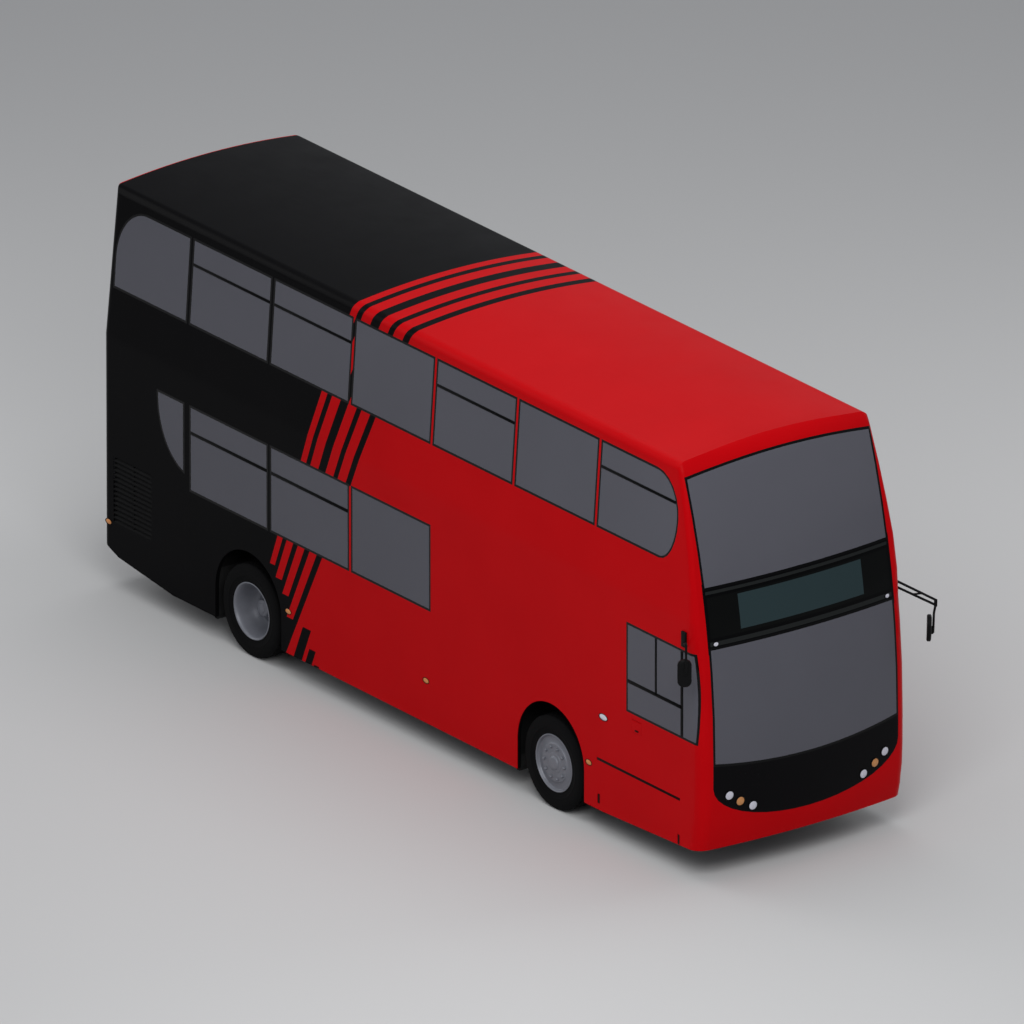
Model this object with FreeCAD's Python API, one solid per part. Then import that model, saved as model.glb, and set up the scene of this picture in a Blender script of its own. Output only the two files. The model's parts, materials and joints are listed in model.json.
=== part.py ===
import FreeCAD, Part
import math
import os

# Double decker bus at full size, in millimetres. The front faces -Y, the nearside (doors) is +X,
# the offside (driver) is -X, and the wheels stand on Z = 0. Places along the bus are stations:
# millimetres ahead of the front axle.

# Overall body
AXLE_Y = -2385.0            # Y of the front axle
WHEELBASE = 5010.0
HALF_WIDTH = 1275.0
WALL = 45.0                 # side, roof, front and rear panels with their lining
LEAN_START = 2720.0         # the sides lean inwards above this height
LEAN = math.radians(4.0)
NOSE = 2562.0               # station of the foremost point of the front
NOSE_RADIUS = 9000.0        # the front is part of a large ball
NOSE_HIGH = 1260.0          # it is upright between these two heights
NOSE_LOW = 900.0
TUCK_RADIUS = 2400.0        # and tucks in below them
BROW_RADIUS = 200.0         # and rolls over to the roof
BROW_START = 4200.0
TAIL = -7450.0              # station of the rear face
TAIL_RAKE = 0.040
FRONT_CORNER_LOW = 150.0
FRONT_CORNER_HIGH = 60.0
REAR_CORNER = 100.0
ROOF_EDGE = 4285.0
CROWN = 75.0
SHOULDER = 100.0
CANT = 4172.0               # the roof panel starts here
SKIRT = 260.0
SKIRT_FRONT = 327.0
SKIRT_REAR = 450.0
SKIRT_RISE_STATION = -6270.0
SKIRT_NOSE_STATION = 2400.0 # the skirt rises forwards from the front wheel to here
SKIRT_WHEEL_STATION = 850.0
SKIRT_CORNER_STATION = -7190.0
FRONT_JOINT = 200.0         # the front mouldings reach this far back from the nose
REAR_JOINT = -7330.0        # the rear panel starts here

# Wheels and arches
TYRE_R = 490.0
TYRE_W = 275.0
RIM_R = 300.0
WHEEL_FACE = 1250.0         # outer face of the tyres, from the middle
TWIN_GAP = 45.0
ARCH_R = 550.0
ARCH_Z = 585.0
BOX_HALF = 640.0            # wheel boxes, along the bus
BOX_TOP = 1160.0
BOX_SHEET = 14.0
WHEEL_STEPS = 48            # flat facets round a tyre or rim, one of them on the road
TREAD_HALF = 108.0
SIDEWALL_R = 448.0
FRONT_BOX_IN = 410.0
REAR_BOX_IN = 600.0

# Glass
GLASS = 8.0
FRIT = 25.0                 # how far a pane laps over its opening
POST_PITCH = 1349.0
UPPER_POST = -6060.0        # station of the rearmost upper post
LOWER_POST = -4662.0
POST = 80.0
UPPER_SILL = 3260.0
UPPER_HEAD = 4125.0
LOWER_SILL = 1495.0
LOWER_HEAD = 2375.0
UPPER_REAR_END = -7287.0
UPPER_FRONT_END = 1970.0
LOWER_REAR_END = -5965.0
FIN_FRONT = -6097.0
CAB_REAR = 1263.0
CAB_FRONT = 2385.0
SCREEN_HALF = 1120.0
LOWER_SCREEN_SILL = 1260.0
LOWER_SCREEN_DIP = 90.0
LOWER_SCREEN_HEAD = 2440.0
UPPER_SCREEN_SILL = 3070.0
UPPER_SCREEN_HEAD = 4128.0
UPPER_SCREEN_RISE = 87.0
MASK_BOTTOM = 570.0
MASK_SHOULDER = 1000.0
FRONT_BELT = 1275.0         # joint between the upper and lower front mouldings
REAR_GLASS_HALF = 960.0
REAR_GLASS_SILL = 3300.0
REAR_GLASS_HEAD = 4060.0

# Floors and rooms
FLOOR_TOP = 380.0
FLOOR = 30.0
UPPER_FLOOR_TOP = 2530.0
UPPER_FLOOR = 50.0
PLATFORM_TOP = 760.0        # raised floor over the rear axle
PLATFORM_START = -4250.0
ENGINE_WALL = -6160.0
ENGINE_DECK = 1440.0
CAB_BACK = 1290.0
CAB_SIDE = -430.0
STEPS = 9
TREAD = 240.0
STAIR_START = 1240.0
STAIR_IN = -620.0
STAIR_OUT = -1210.0
WELL_FRONT = 1000.0
SEAT_PITCH = 750.0
SEAT_WIDTH = 860.0
SEAT_X = 740.0
POLE_R = 16.0
POLE_STATIONS = (-1260.0, -2760.0, -4060.0)
SEAT_BACK = 1000.0          # height of a seat's back above its floor
CUSHION_TOP = 430.0
CUSHION_DEPTH = 440.0
LOWER_FIRST_ROW = -1350.0
LOWER_ROWS = 4
GUARD_RAIL_STATION = 1900.0
DRIVER_X = -800.0
DRIVER_PLINTH = 150.0
STEERING_WHEEL_R = 215.0
CONSOLE_TOP = 1250.0
UPPER_FIRST_ROW = 1230.0
UPPER_ROWS = 11
CAB_LEAF_FRONT = 1770.0
CAB_LEAF_HIGH = 1450.0

# Entrance
DOOR_REAR = 1060.0
DOOR_FRONT = 2180.0
DOOR_SILL = 390.0
DOOR_HEAD = 2380.0
DOOR_GAP = 6.0
LEAF = 40.0
LEAF_FRAME = 55.0
MEETING_GAP = 16.0
SHAFT_R = 18.0

# Engine cover, engine grille and access flap
COVER_HALF = 860.0
COVER_LOW = 520.0
COVER_HIGH = 1460.0
COVER_ROD = 9.0
COVER_ENDS = 30.0
GRILLE_REAR = -7265.0
GRILLE_FRONT = -6625.0
GRILLE_LOW = 727.0
GRILLE_HIGH = 1440.0
GRILLE_SLATS = 14
FLAP_REAR = 1331.0
FLAP_FRONT = 1483.0
FLAP_LOW = 1268.0
FLAP_HIGH = 1390.0
FLAP = 12.0
FLAP_ROD = 4.5
GROOVE = 10.0               # depth of the grooves in the offside skirt
SLOT_REAR = 755.0
SLOT_FRONT = 2118.0
SLOT_Z = 800.0
SLOT_H = 30.0

# Mirrors and lamps
MIRROR_W = 140.0
NEAR_MIRROR_W = 175.0
MIRROR_H = 290.0
MIRROR_D = 60.0
MIRROR_X = 1500.0
LAMP_R = 50.0
LAMP_PLACES = ((962.0, 897.0), (834.0, 810.0), (685.0, 731.0))
HIGH_MARKER_X = 1059.0
HIGH_MARKER_Z = 2497.0
HIGH_MARKER_HALF = 36.0
HIGH_MARKER_RISE = 18.0
MARKER_Z = 712.0
MARKER_STATIONS = (623.0, -2057.0, -4344.0, -7362.0)
SIDE_LAMP_STATION = 862.0
SIDE_LAMP_Z = 1268.0
REAR_LAMP_X = 1080.0
REAR_LAMP_ROWS = (700.0, 840.0, 980.0)
REAR_LAMP_R = 52.0
HIGH_REAR_LAMP_Z = 2900.0
HIGH_REAR_LAMP_R = 40.0
SEATED = 0.3                # gap under a piece that is only laid on its seat

# Running gear
KINGPIN_X = 930.0
KINGPIN_R = 20.0
FIT = 0.05                  # running clearance of pins in their eyes
EYE_R = 48.0
EYE_HALF = 70.0
FORK_GAP = 4.0
FORK = 45.0
BEAM_LOW = 160.0
BEAM_HIGH = 262.0
STEER_ARM = 250.0
ROD_Z = 272.0
ROD_R = 15.0
RAIL_X = 400.0
RAIL_W = 80.0
RAIL_LOW = 250.0
RAIL_HIGH_H = 110.0         # depth of the raised rails
RAIL_END = -7200.0
RAIL_FRONT = 2250.0
CROSS = 60.0                # width of the cross members
CROSS_LOW = (2150.0, 1400.0, -1000.0, -2100.0, -3200.0)
CROSS_HIGH = (-4560.0, -5800.0, -7150.0)
HUB_R = 95.0
SPINDLE_R = 38.0
SPINDLE_END = 1190.0
STUB_R = 50.0
STUB_END = 1000.0
STUB_START = 880.0
PIN_R = 11.0
SPRING_X = 545.0
SPRING_R = 85.0
TOWER_TOP = 640.0
TOWER_PLATE = 20.0
REAR_SPRING = 400.0
ENGINE_FRONT = -6220.0
ENGINE_REAR = -7120.0
ENGINE_LOW = 400.0
ENGINE_HIGH = 1240.0
ENGINE_HALF = 340.0
AXLE_TUBE_R = 75.0
DRIVE_X = -150.0            # the final drive sits towards the offside
DRIVE_R = 190.0
PROP_R = 45.0
TOW_STATION = 2330.0
TOW_R = 20.0
TOW_LOW = 300.0
TOW_PLATE = 40.0

V = FreeCAD.Vector
REAR_AXLE = -WHEELBASE


def y_at(station):
    return AXLE_Y - station


def box(x0, x1, s0, s1, z0, z1):
    """A block between two X values, two stations and two heights."""
    low = V(min(x0, x1), y_at(max(s0, s1)), min(z0, z1))
    return Part.makeBox(abs(x1 - x0), abs(s1 - s0), abs(z1 - z0), low)


def rod(start, end, radius):
    """A round bar between two points given as (x, station, z)."""
    a = V(start[0], y_at(start[1]), start[2])
    b = V(end[0], y_at(end[1]), end[2])
    return Part.makeCylinder(radius, (b - a).Length, a, b - a)


def fuse(shapes):
    whole = shapes[0].multiFuse(shapes[1:]) if len(shapes) > 1 else shapes[0]
    return whole.removeSplitter()


def mirrored(shape):
    return shape.mirror(V(0, 0, 0), V(1, 0, 0))


def half_width(z):
    return HALF_WIDTH - max(0.0, z - LEAN_START) * math.tan(LEAN)


def arc_drop(distance, radius):
    return radius - math.sqrt(max(radius ** 2 - distance ** 2, 0.0))


def nose(z):
    """Station of the middle of the front at a height."""
    drop = arc_drop(max(0.0, z - NOSE_HIGH), NOSE_RADIUS)
    drop += arc_drop(max(0.0, NOSE_LOW - z), TUCK_RADIUS)
    drop += arc_drop(min(max(0.0, z - BROW_START), BROW_RADIUS), BROW_RADIUS)
    return NOSE - drop


def tail(z):
    return TAIL + max(0.0, z - LEAN_START) * TAIL_RAKE


def front_corner(z):
    """The corner radius tightens between the two screens."""
    share = (z - LOWER_SCREEN_HEAD) / (UPPER_SCREEN_SILL - LOWER_SCREEN_HEAD)
    share = min(max(share, 0.0), 1.0)
    return FRONT_CORNER_LOW + (FRONT_CORNER_HIGH - FRONT_CORNER_LOW) * share


def plan_outline(z, inset):
    """The body's outline seen from above at a height, moved inwards by the inset."""
    half = half_width(z) - inset
    bow = NOSE_RADIUS - inset
    corner = max(front_corner(z) - inset, 12.0)
    back = max(REAR_CORNER - inset, 12.0)
    y_front = y_at(nose(z)) + inset
    y_back = y_at(tail(z)) - inset
    bow_y = y_front + bow
    reach = half - corner
    corner_y = bow_y - math.sqrt((bow - corner) ** 2 - reach ** 2)
    grow = bow / (bow - corner)
    touch = V(reach * grow, bow_y + (corner_y - bow_y) * grow, z)
    turn = math.atan2(touch.y - corner_y, touch.x - reach) / 2.0
    on_corner = V(reach + corner * math.cos(turn), corner_y + corner * math.sin(turn), z)
    diag = back * math.sqrt(0.5)
    right = [V(half, corner_y, z), V(half, y_back - back, z),
             V(half - back + diag, y_back - back + diag, z), V(half - back, y_back, z)]

    def flip(p):
        return V(-p.x, p.y, p.z)

    edges = [
        Part.Arc(flip(touch), V(0, y_front, z), touch).toShape(),
        Part.Arc(touch, on_corner, right[0]).toShape(),
        Part.makeLine(right[0], right[1]),
        Part.Arc(right[1], right[2], right[3]).toShape(),
        Part.makeLine(right[3], flip(right[3])),
        Part.Arc(flip(right[3]), flip(right[2]), flip(right[1])).toShape(),
        Part.makeLine(flip(right[1]), flip(right[0])),
        Part.Arc(flip(right[0]), flip(on_corner), flip(touch)).toShape(),
    ]
    return Part.Wire(edges)


def levels():
    """Heights at which the outline is drawn, close together where the form turns."""
    low = [SKIRT - 60.0, 450.0, 680.0, NOSE_LOW, NOSE_HIGH]
    middle = [1750.0, 2200.0, LOWER_SCREEN_HEAD, LEAN_START, UPPER_SCREEN_SILL, 3420.0, 3780.0]
    high = [UPPER_SCREEN_HEAD, BROW_START, 4260.0, 4320.0, 4380.0]
    return low + middle + high


def roof_section(inset):
    """A long prism whose top is the crowned roof with its round shoulders."""
    bite = 0.5              # the shoulder's arc crosses the side by this much, never grazing it
    bow = (half_width(ROOF_EDGE) ** 2 + CROWN ** 2) / (2.0 * CROWN) - inset
    bow_z = ROOF_EDGE + CROWN - bow - inset
    radius = SHOULDER - inset
    lean_cos, lean_sin = math.cos(LEAN), math.sin(LEAN)
    # The shoulder's centre lies on a line parallel to the leaning side
    low_x, low_z = -1.0, bow_z
    for _ in range(60):
        z = (low_z + ROOF_EDGE + CROWN) / 2.0
        x = half_width(z) - (inset + radius - bite) / lean_cos
        if math.hypot(x, z - bow_z) > bow - radius:
            top = z
            break
        low_z = z
    high_z = top
    for _ in range(60):
        z = (low_z + high_z) / 2.0
        x = half_width(z) - (inset + radius - bite) / lean_cos
        if math.hypot(x, z - bow_z) > bow - radius:
            high_z = z
        else:
            low_z = z
    grow = bow / (bow - radius)
    touch = V(x * grow, 0, bow_z + (z - bow_z) * grow)
    side = V(x + radius * lean_cos, 0, z + radius * lean_sin)
    turn = (math.atan2(touch.z - z, touch.x - x) + math.atan2(side.z - z, side.x - x)) / 2.0
    between = V(x + radius * math.cos(turn), 0, z + radius * math.sin(turn))
    wide = 1.5 * HALF_WIDTH

    def flip(p):
        return V(-p.x, p.y, p.z)

    ring = Part.Wire([
        Part.Arc(flip(touch), V(0, 0, bow_z + bow), touch).toShape(),
        Part.Arc(touch, between, side).toShape(),
        Part.makeLine(side, V(wide, 0, 0)),
        Part.makeLine(V(wide, 0, 0), V(-wide, 0, 0)),
        Part.makeLine(V(-wide, 0, 0), flip(side)),
        Part.Arc(flip(side), flip(between), flip(touch)).toShape(),
    ])
    ring.translate(V(0, -9000, 0))
    return Part.Face(ring).extrude(V(0, 18000, 0))


def form(inset):
    """The body's form as one closed solid, moved inwards by the inset."""
    body = Part.makeLoft([plan_outline(z, inset) for z in levels()], True, True)
    return body.common(roof_section(inset))


def side_prism(points, x0, x1):
    """Extrude a closed outline of (station, z) points or arcs from one X to another."""
    face = Part.Face(outline_wire(points, x0))
    return face.extrude(V(x1 - x0, 0, 0))


def outline_wire(points, x):
    """Points are (station, z); a point with a third value 'arc' is passed through by an arc."""
    spots = [V(x, y_at(p[0]), p[1]) for p in points]
    marks = [len(p) > 2 for p in points]
    edges = []
    count = len(points)
    index = 0
    while index < count:
        if marks[(index + 1) % count]:
            edges.append(Part.Arc(spots[index], spots[(index + 1) % count],
                                  spots[(index + 2) % count]).toShape())
            index += 2
        else:
            edges.append(Part.makeLine(spots[index], spots[(index + 1) % count]))
            index += 1
    return Part.Wire(edges)


def quarter(centre_s, centre_z, half_s, half_z, start, end, steps=6):
    """Points of part of an ellipse between two angles, in degrees, as short runs."""
    points = []
    for k in range(steps + 1):
        a = math.radians(start + (end - start) * k / steps)
        points.append((centre_s + half_s * math.cos(a), centre_z + half_z * math.sin(a)))
    return points


def upper_rear_window(grow):
    """The rearmost upper window, its top corner a large ellipse."""
    end = UPPER_POST - POST / 2.0
    bend_s, bend_z = 487.0, 575.0
    points = [(end + grow, UPPER_SILL - grow), (end + grow, UPPER_HEAD + grow)]
    points += quarter(UPPER_REAR_END + bend_s, UPPER_HEAD - bend_z, bend_s + grow, bend_z + grow, 90, 180)
    points.append((UPPER_REAR_END - grow, UPPER_SILL - grow))
    return points


def upper_front_window(grow):
    """The foremost upper window, its front end swept round."""
    start = UPPER_POST + 5.0 * POST_PITCH + POST / 2.0
    top_s, low_s, waist = 355.0, 255.0, 3710.0
    points = [(start - grow, UPPER_HEAD + grow), (start - grow, UPPER_SILL - grow)]
    points += quarter(UPPER_FRONT_END - low_s, waist, low_s + grow, waist - UPPER_SILL + grow, -90, 0)
    points += quarter(UPPER_FRONT_END - top_s, waist, top_s + grow, UPPER_HEAD - waist + grow, 0, 90)[1:]
    return points


def fin_window(grow):
    """The small lower window whose rear edge sweeps forwards and down."""
    half_s, half_z = 550.0, 700.0
    centre_s, centre_z = FIN_FRONT + 137.0, LOWER_HEAD - 35.0
    share = (FIN_FRONT + grow - centre_s) / (half_s + grow)
    last = 360.0 - math.degrees(math.acos(share))
    points = [(FIN_FRONT + grow, LOWER_HEAD + grow), (centre_s - half_s - grow, LOWER_HEAD + grow)]
    points += quarter(centre_s, centre_z, half_s + grow, half_z + grow, 180, last)
    return points


def cab_window(grow):
    """The driver's window, its front edge bowed like the corner beside it."""
    sill, head = LOWER_SILL - 12.0 - grow, LOWER_HEAD + 10.0 + grow
    foot, top, waist = CAB_FRONT - 15.0, CAB_FRONT - 55.0, 1950.0
    return [(CAB_REAR - grow, sill), (foot + grow, sill), (CAB_FRONT + grow, waist, "arc"),
            (top + grow, head), (CAB_REAR - grow, head)]


def pane(start, end, sill, head, grow):
    return [(start - grow, sill - grow), (end + grow, sill - grow), (end + grow, head + grow),
            (start - grow, head + grow)]


def upper_panes(grow):
    outlines = [upper_rear_window(grow), upper_front_window(grow)]
    for k in range(5):
        start = UPPER_POST + k * POST_PITCH + POST / 2.0
        outlines.append(pane(start, start + POST_PITCH - POST, UPPER_SILL, UPPER_HEAD, grow))
    return outlines


def lower_panes(count, grow):
    """The lower side windows: the fin, then full panes; the last one ends at a blank panel or door."""
    outlines = [fin_window(grow), pane(LOWER_REAR_END, LOWER_POST - POST / 2.0, LOWER_SILL, LOWER_HEAD, grow)]
    for k in range(count):
        start = LOWER_POST + k * POST_PITCH + POST / 2.0
        outlines.append(pane(start, start + POST_PITCH - POST, LOWER_SILL, LOWER_HEAD, grow))
    return outlines


def front_prism(points, depth=900.0):
    """Extrude an outline of (x, z) points or arcs through the front of the body."""
    y = y_at(NOSE) - 50.0
    spots = [V(p[0], y, p[1]) for p in points]
    edges = []
    index = 0
    while index < len(points):
        after = (index + 1) % len(points)
        if len(points[after]) > 2:
            edges.append(Part.Arc(spots[index], spots[after], spots[(index + 2) % len(points)]).toShape())
            index += 2
        else:
            edges.append(Part.makeLine(spots[index], spots[after]))
            index += 1
    return Part.Face(Part.Wire(edges)).extrude(V(0, depth, 0))


def lower_screen(grow):
    half, sill, head = SCREEN_HALF + grow, LOWER_SCREEN_SILL - grow, LOWER_SCREEN_HEAD + grow
    return front_prism([(half, sill), (half, head), (-half, head), (-half, sill),
                        (0.0, sill - LOWER_SCREEN_DIP, "arc")])


def upper_screen(grow):
    half, sill, head = SCREEN_HALF + grow, UPPER_SCREEN_SILL - grow, UPPER_SCREEN_HEAD + grow
    return front_prism([(-half, sill), (half, sill), (half, head), (0.0, head + UPPER_SCREEN_RISE, "arc"),
                        (-half, head)])


def display_panel(grow):
    """The glass between the screens, which lies 4 mm clear of both."""
    half = SCREEN_HALF + FRIT - grow
    low = LOWER_SCREEN_HEAD + FRIT + 4.0 + grow
    high = UPPER_SCREEN_SILL - FRIT - 4.0 - grow
    return front_prism([(-half, low), (half, low), (half, high), (-half, high)])


def mask_region():
    """The black lamp panel: upright sides, then a half ellipse below."""
    half = SCREEN_HALF + FRIT
    points = [(half, FRONT_BELT), (-half, FRONT_BELT)]
    points += quarter(0.0, MASK_SHOULDER, half, MASK_SHOULDER - MASK_BOTTOM, 180, 360, 20)
    return front_prism(points)


def arch(station, x0, x1, radius=ARCH_R):
    """A wheel arch: a half round over upright sides."""
    top = ARCH_Z + radius
    points = [(station + radius, 0.0), (station + radius, ARCH_Z), (station, top, "arc"),
              (station - radius, ARCH_Z), (station - radius, 0.0)]
    return side_prism(points, x0, x1)


def skirt_cut():
    """Everything under the lower edge of the body."""
    wide = HALF_WIDTH + 200.0
    points = [(NOSE + 300.0, -100.0), (NOSE + 300.0, SKIRT_FRONT + 10.0), (SKIRT_NOSE_STATION, SKIRT_FRONT),
              (SKIRT_WHEEL_STATION, SKIRT), (SKIRT_RISE_STATION, SKIRT), (SKIRT_CORNER_STATION, SKIRT + 116.0),
              (TAIL + 70.0, SKIRT_REAR), (TAIL - 300.0, SKIRT_REAR + 90.0), (TAIL - 300.0, -100.0)]
    return side_prism(points, -wide, wide)


def front_zone(back):
    """Everything ahead of a surface that follows the front, a set distance behind the nose."""
    wide = HALF_WIDTH + 200.0
    heights = [0.0, NOSE_LOW, NOSE_HIGH, 2200.0, UPPER_SCREEN_SILL, 3600.0, UPPER_SCREEN_HEAD, 4600.0]
    points = [(NOSE - arc_drop(max(0.0, z - NOSE_HIGH), NOSE_RADIUS) - back, z) for z in heights]
    points += [(NOSE + 600.0, 4600.0), (NOSE + 600.0, 0.0)]
    return side_prism(points, -wide, wide)


OUTER = form(0.0)
INNER = form(WALL)
UNDER_GLASS = form(GLASS)
LAYER = OUTER.cut(UNDER_GLASS)


def side_prisms(outlines, side):
    """Tools that pass through one side only, side -1 the offside and 1 the nearside."""
    outside = side * (HALF_WIDTH + 125.0)
    inside = side * (SCREEN_HALF + FRIT + 5.0)
    return [side_prism(points, outside, inside) for points in outlines]


def grille_box():
    outer, inner = -HALF_WIDTH - 10.0, -HALF_WIDTH + WALL + 10.0
    return box(outer, inner, GRILLE_REAR, GRILLE_FRONT, GRILLE_LOW, GRILLE_HIGH)


def door_hole():
    return box(HALF_WIDTH - WALL - 60.0, HALF_WIDTH + 60.0, DOOR_REAR, DOOR_FRONT, FLOOR_TOP, DOOR_HEAD)


def body_panels():
    """Split the shell where the real panels meet, with windows, arches and doors cut."""
    shell = OUTER.cut(INNER).cut(skirt_cut())
    ahead = front_zone(FRONT_JOINT)
    front = shell.common(ahead)
    rest = shell.cut(ahead)
    wide = HALF_WIDTH + 100.0
    above = box(-wide, wide, TAIL - 200.0, NOSE + 200.0, CANT, 4600.0)
    roof = rest.common(above)
    rest = rest.cut(above)
    behind = box(-wide, wide, TAIL - 200.0, REAR_JOINT, 0.0, CANT + 50.0)
    rear = rest.common(behind)
    rest = rest.cut(behind)
    offside = rest.common(box(-wide, 0.0, TAIL, NOSE, 0.0, CANT + 50.0))
    nearside = rest.common(box(0.0, wide, TAIL, NOSE, 0.0, CANT + 50.0))

    off_tools = side_prisms(upper_panes(FRIT) + lower_panes(2, FRIT) + [cab_window(FRIT)], -1)
    near_tools = side_prisms(upper_panes(FRIT) + lower_panes(4, FRIT), 1)
    off_glass = [LAYER.common(tool) for tool in off_tools]
    near_glass = [LAYER.common(tool) for tool in near_tools]
    off_open = side_prisms(upper_panes(0.0) + lower_panes(2, 0.0) + [cab_window(0.0)], -1)
    near_open = side_prisms(upper_panes(0.0) + lower_panes(4, 0.0), 1)
    arches = [arch(s, side * 1400.0, side * 1000.0) for s in (0.0, REAR_AXLE) for side in (-1, 1)]

    offside = offside.cut(off_glass + off_open + arches + [grille_box()])
    nearside = nearside.cut(near_glass + near_open + arches + [door_hole()])

    low_screen = LAYER.common(lower_screen(FRIT))
    high_screen = LAYER.common(upper_screen(FRIT))
    display = LAYER.common(display_panel(0.0))
    below = box(-wide, wide, 0.0, NOSE + 100.0, 0.0, FRONT_BELT)
    front_cut = front.cut([off_glass[-1], off_open[-1]])
    front_low = front_cut.common(below)
    front_high = front_cut.cut(below)
    mask = front_low.common(mask_region())
    front_low = front_low.cut(mask_region())
    screens = [low_screen, high_screen, lower_screen(0.0), upper_screen(0.0)]
    mask = mask.cut([low_screen, lower_screen(0.0)])
    front_high = front_high.cut(screens + [display])

    rear = rear.cut([rear_prism(FRIT).common(LAYER), rear_prism(0.0), cover_region(0.0)])
    rear_window = LAYER.common(rear_prism(FRIT))
    cover = shell.common(cover_region(DOOR_GAP))
    return {
        "offside_wall": offside, "nearside_wall": nearside, "roof_panel": roof,
        "front_upper_panel": front_high, "front_lower_panel": front_low, "front_mask": mask,
        "rear_panel": rear, "engine_cover": cover, "upper_windscreen": high_screen,
        "lower_windscreen": low_screen, "destination_glass": display, "rear_window": rear_window,
        "offside_glazing": Part.makeCompound(off_glass[:-1]), "cab_window_glass": off_glass[-1],
        "nearside_glazing": Part.makeCompound(near_glass),
    }


def rear_prism(grow):
    half, low, high = REAR_GLASS_HALF + grow, REAR_GLASS_SILL - grow, REAR_GLASS_HEAD + grow
    return box(-half, half, REAR_JOINT, TAIL - 100.0, low, high)


def cover_region(gap):
    half = COVER_HALF - gap
    return box(-half, half, REAR_JOINT, TAIL - 100.0, COVER_LOW + gap, COVER_HIGH - gap)


def lamp(x, z, radius):
    """A round lens let into the front, standing 5 mm proud and 25 mm deep."""
    y = y_at(NOSE) - 60.0
    bar = Part.makeCylinder(radius, 700.0, V(x, y, z), V(0, 1, 0))
    return PROUD.common(bar)


PROUD = form(-5.0).cut(form(25.0))


def front_lamps():
    """Head, indicator and fog lamps along the lower edge of the mask, and the two high markers."""
    lenses = [lamp(side * x, z, LAMP_R) for x, z in LAMP_PLACES for side in (-1, 1)]
    for side in (-1, 1):
        oval = quarter(side * HIGH_MARKER_X, HIGH_MARKER_Z, HIGH_MARKER_HALF, HIGH_MARKER_RISE, 0, 345, 23)
        lenses.append(PROUD.common(front_prism(oval)))
    return lenses


def engine_grille():
    """Sloped slats on three posts, filling the engine bay's side opening."""
    outer = -HALF_WIDTH
    pitch = (GRILLE_HIGH - GRILLE_LOW) / GRILLE_SLATS
    parts = []
    for k in range(GRILLE_SLATS):
        low = GRILLE_LOW + k * pitch
        spots = [V(outer, 0, low), V(outer, 0, low + 12.0), V(outer + 30.0, 0, low + pitch - 4.0),
                 V(outer + 30.0, 0, low + pitch - 16.0)]
        slat = Part.Face(Part.makePolygon(spots + spots[:1])).extrude(V(0, GRILLE_FRONT - GRILLE_REAR, 0))
        slat.translate(V(0, y_at(GRILLE_FRONT), 0))
        parts.append(slat)
    for s in (GRILLE_REAR, (GRILLE_REAR + GRILLE_FRONT - 25.0) / 2.0, GRILLE_FRONT - 25.0):
        parts.append(box(outer + 10.0, outer + WALL - 10.0, s, s + 25.0, GRILLE_LOW, GRILLE_HIGH))
    return fuse(parts)


def save(name, shape):
    solids = shape.Solids
    whole = solids[0] if len(solids) == 1 else Part.makeCompound(solids)
    whole.exportStep("parts/" + name + ".step")


def wheel_boxes():
    """The four boxes over the wheels, standing on their floors, and the space cut out under each."""
    housings, hollows = [], []
    for station, inner, floor_top in ((0.0, FRONT_BOX_IN, FLOOR_TOP), (REAR_AXLE, REAR_BOX_IN, PLATFORM_TOP)):
        rear, front = station - BOX_HALF, station + BOX_HALF
        for side in (-1, 1):
            hollow = box(side * (inner + BOX_SHEET), side * HALF_WIDTH, rear + BOX_SHEET, front - BOX_SHEET,
                         0.0, BOX_TOP - BOX_SHEET)
            housing = box(side * inner, side * (HALF_WIDTH - WALL), rear, front, floor_top, BOX_TOP)
            hollows.append(hollow)
            housings.append(housing.cut(hollow))
    return housings, hollows


def lower_floor():
    """The low floor, the raised rear platform, the engine's wall and deck, and the wheel boxes."""
    wide = HALF_WIDTH
    under = PLATFORM_TOP - FLOOR
    wall_front = ENGINE_WALL + FLOOR
    low = box(-wide, wide, PLATFORM_START, NOSE, FLOOR_TOP - FLOOR, FLOOR_TOP)
    riser = box(-wide, wide, PLATFORM_START, PLATFORM_START - FLOOR, FLOOR_TOP - FLOOR, PLATFORM_TOP)
    platform = box(-wide, wide, PLATFORM_START, wall_front, under, PLATFORM_TOP)
    wall = box(-wide, wide, wall_front, ENGINE_WALL, under, ENGINE_DECK)
    deck = box(-wide, wide, wall_front, TAIL, ENGINE_DECK, ENGINE_DECK + FLOOR)
    housings, hollows = wheel_boxes()
    floors = [shape.common(INNER).cut(hollows) for shape in (low, fuse([riser, platform]), fuse([wall, deck]))]
    return Part.makeCompound(floors + housings)


def upper_floor():
    slab = box(-HALF_WIDTH, HALF_WIDTH, TAIL, NOSE, UPPER_FLOOR_TOP - UPPER_FLOOR, UPPER_FLOOR_TOP)
    well = box(STAIR_OUT - 5.0, STAIR_IN + 5.0, WELL_FRONT, stair_end(), 2000.0, 3000.0)
    return slab.common(INNER).cut(well)


def rise():
    return (UPPER_FLOOR_TOP - FLOOR_TOP) / STEPS


def stair_end():
    return STAIR_START - (STEPS - 1) * TREAD


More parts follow.
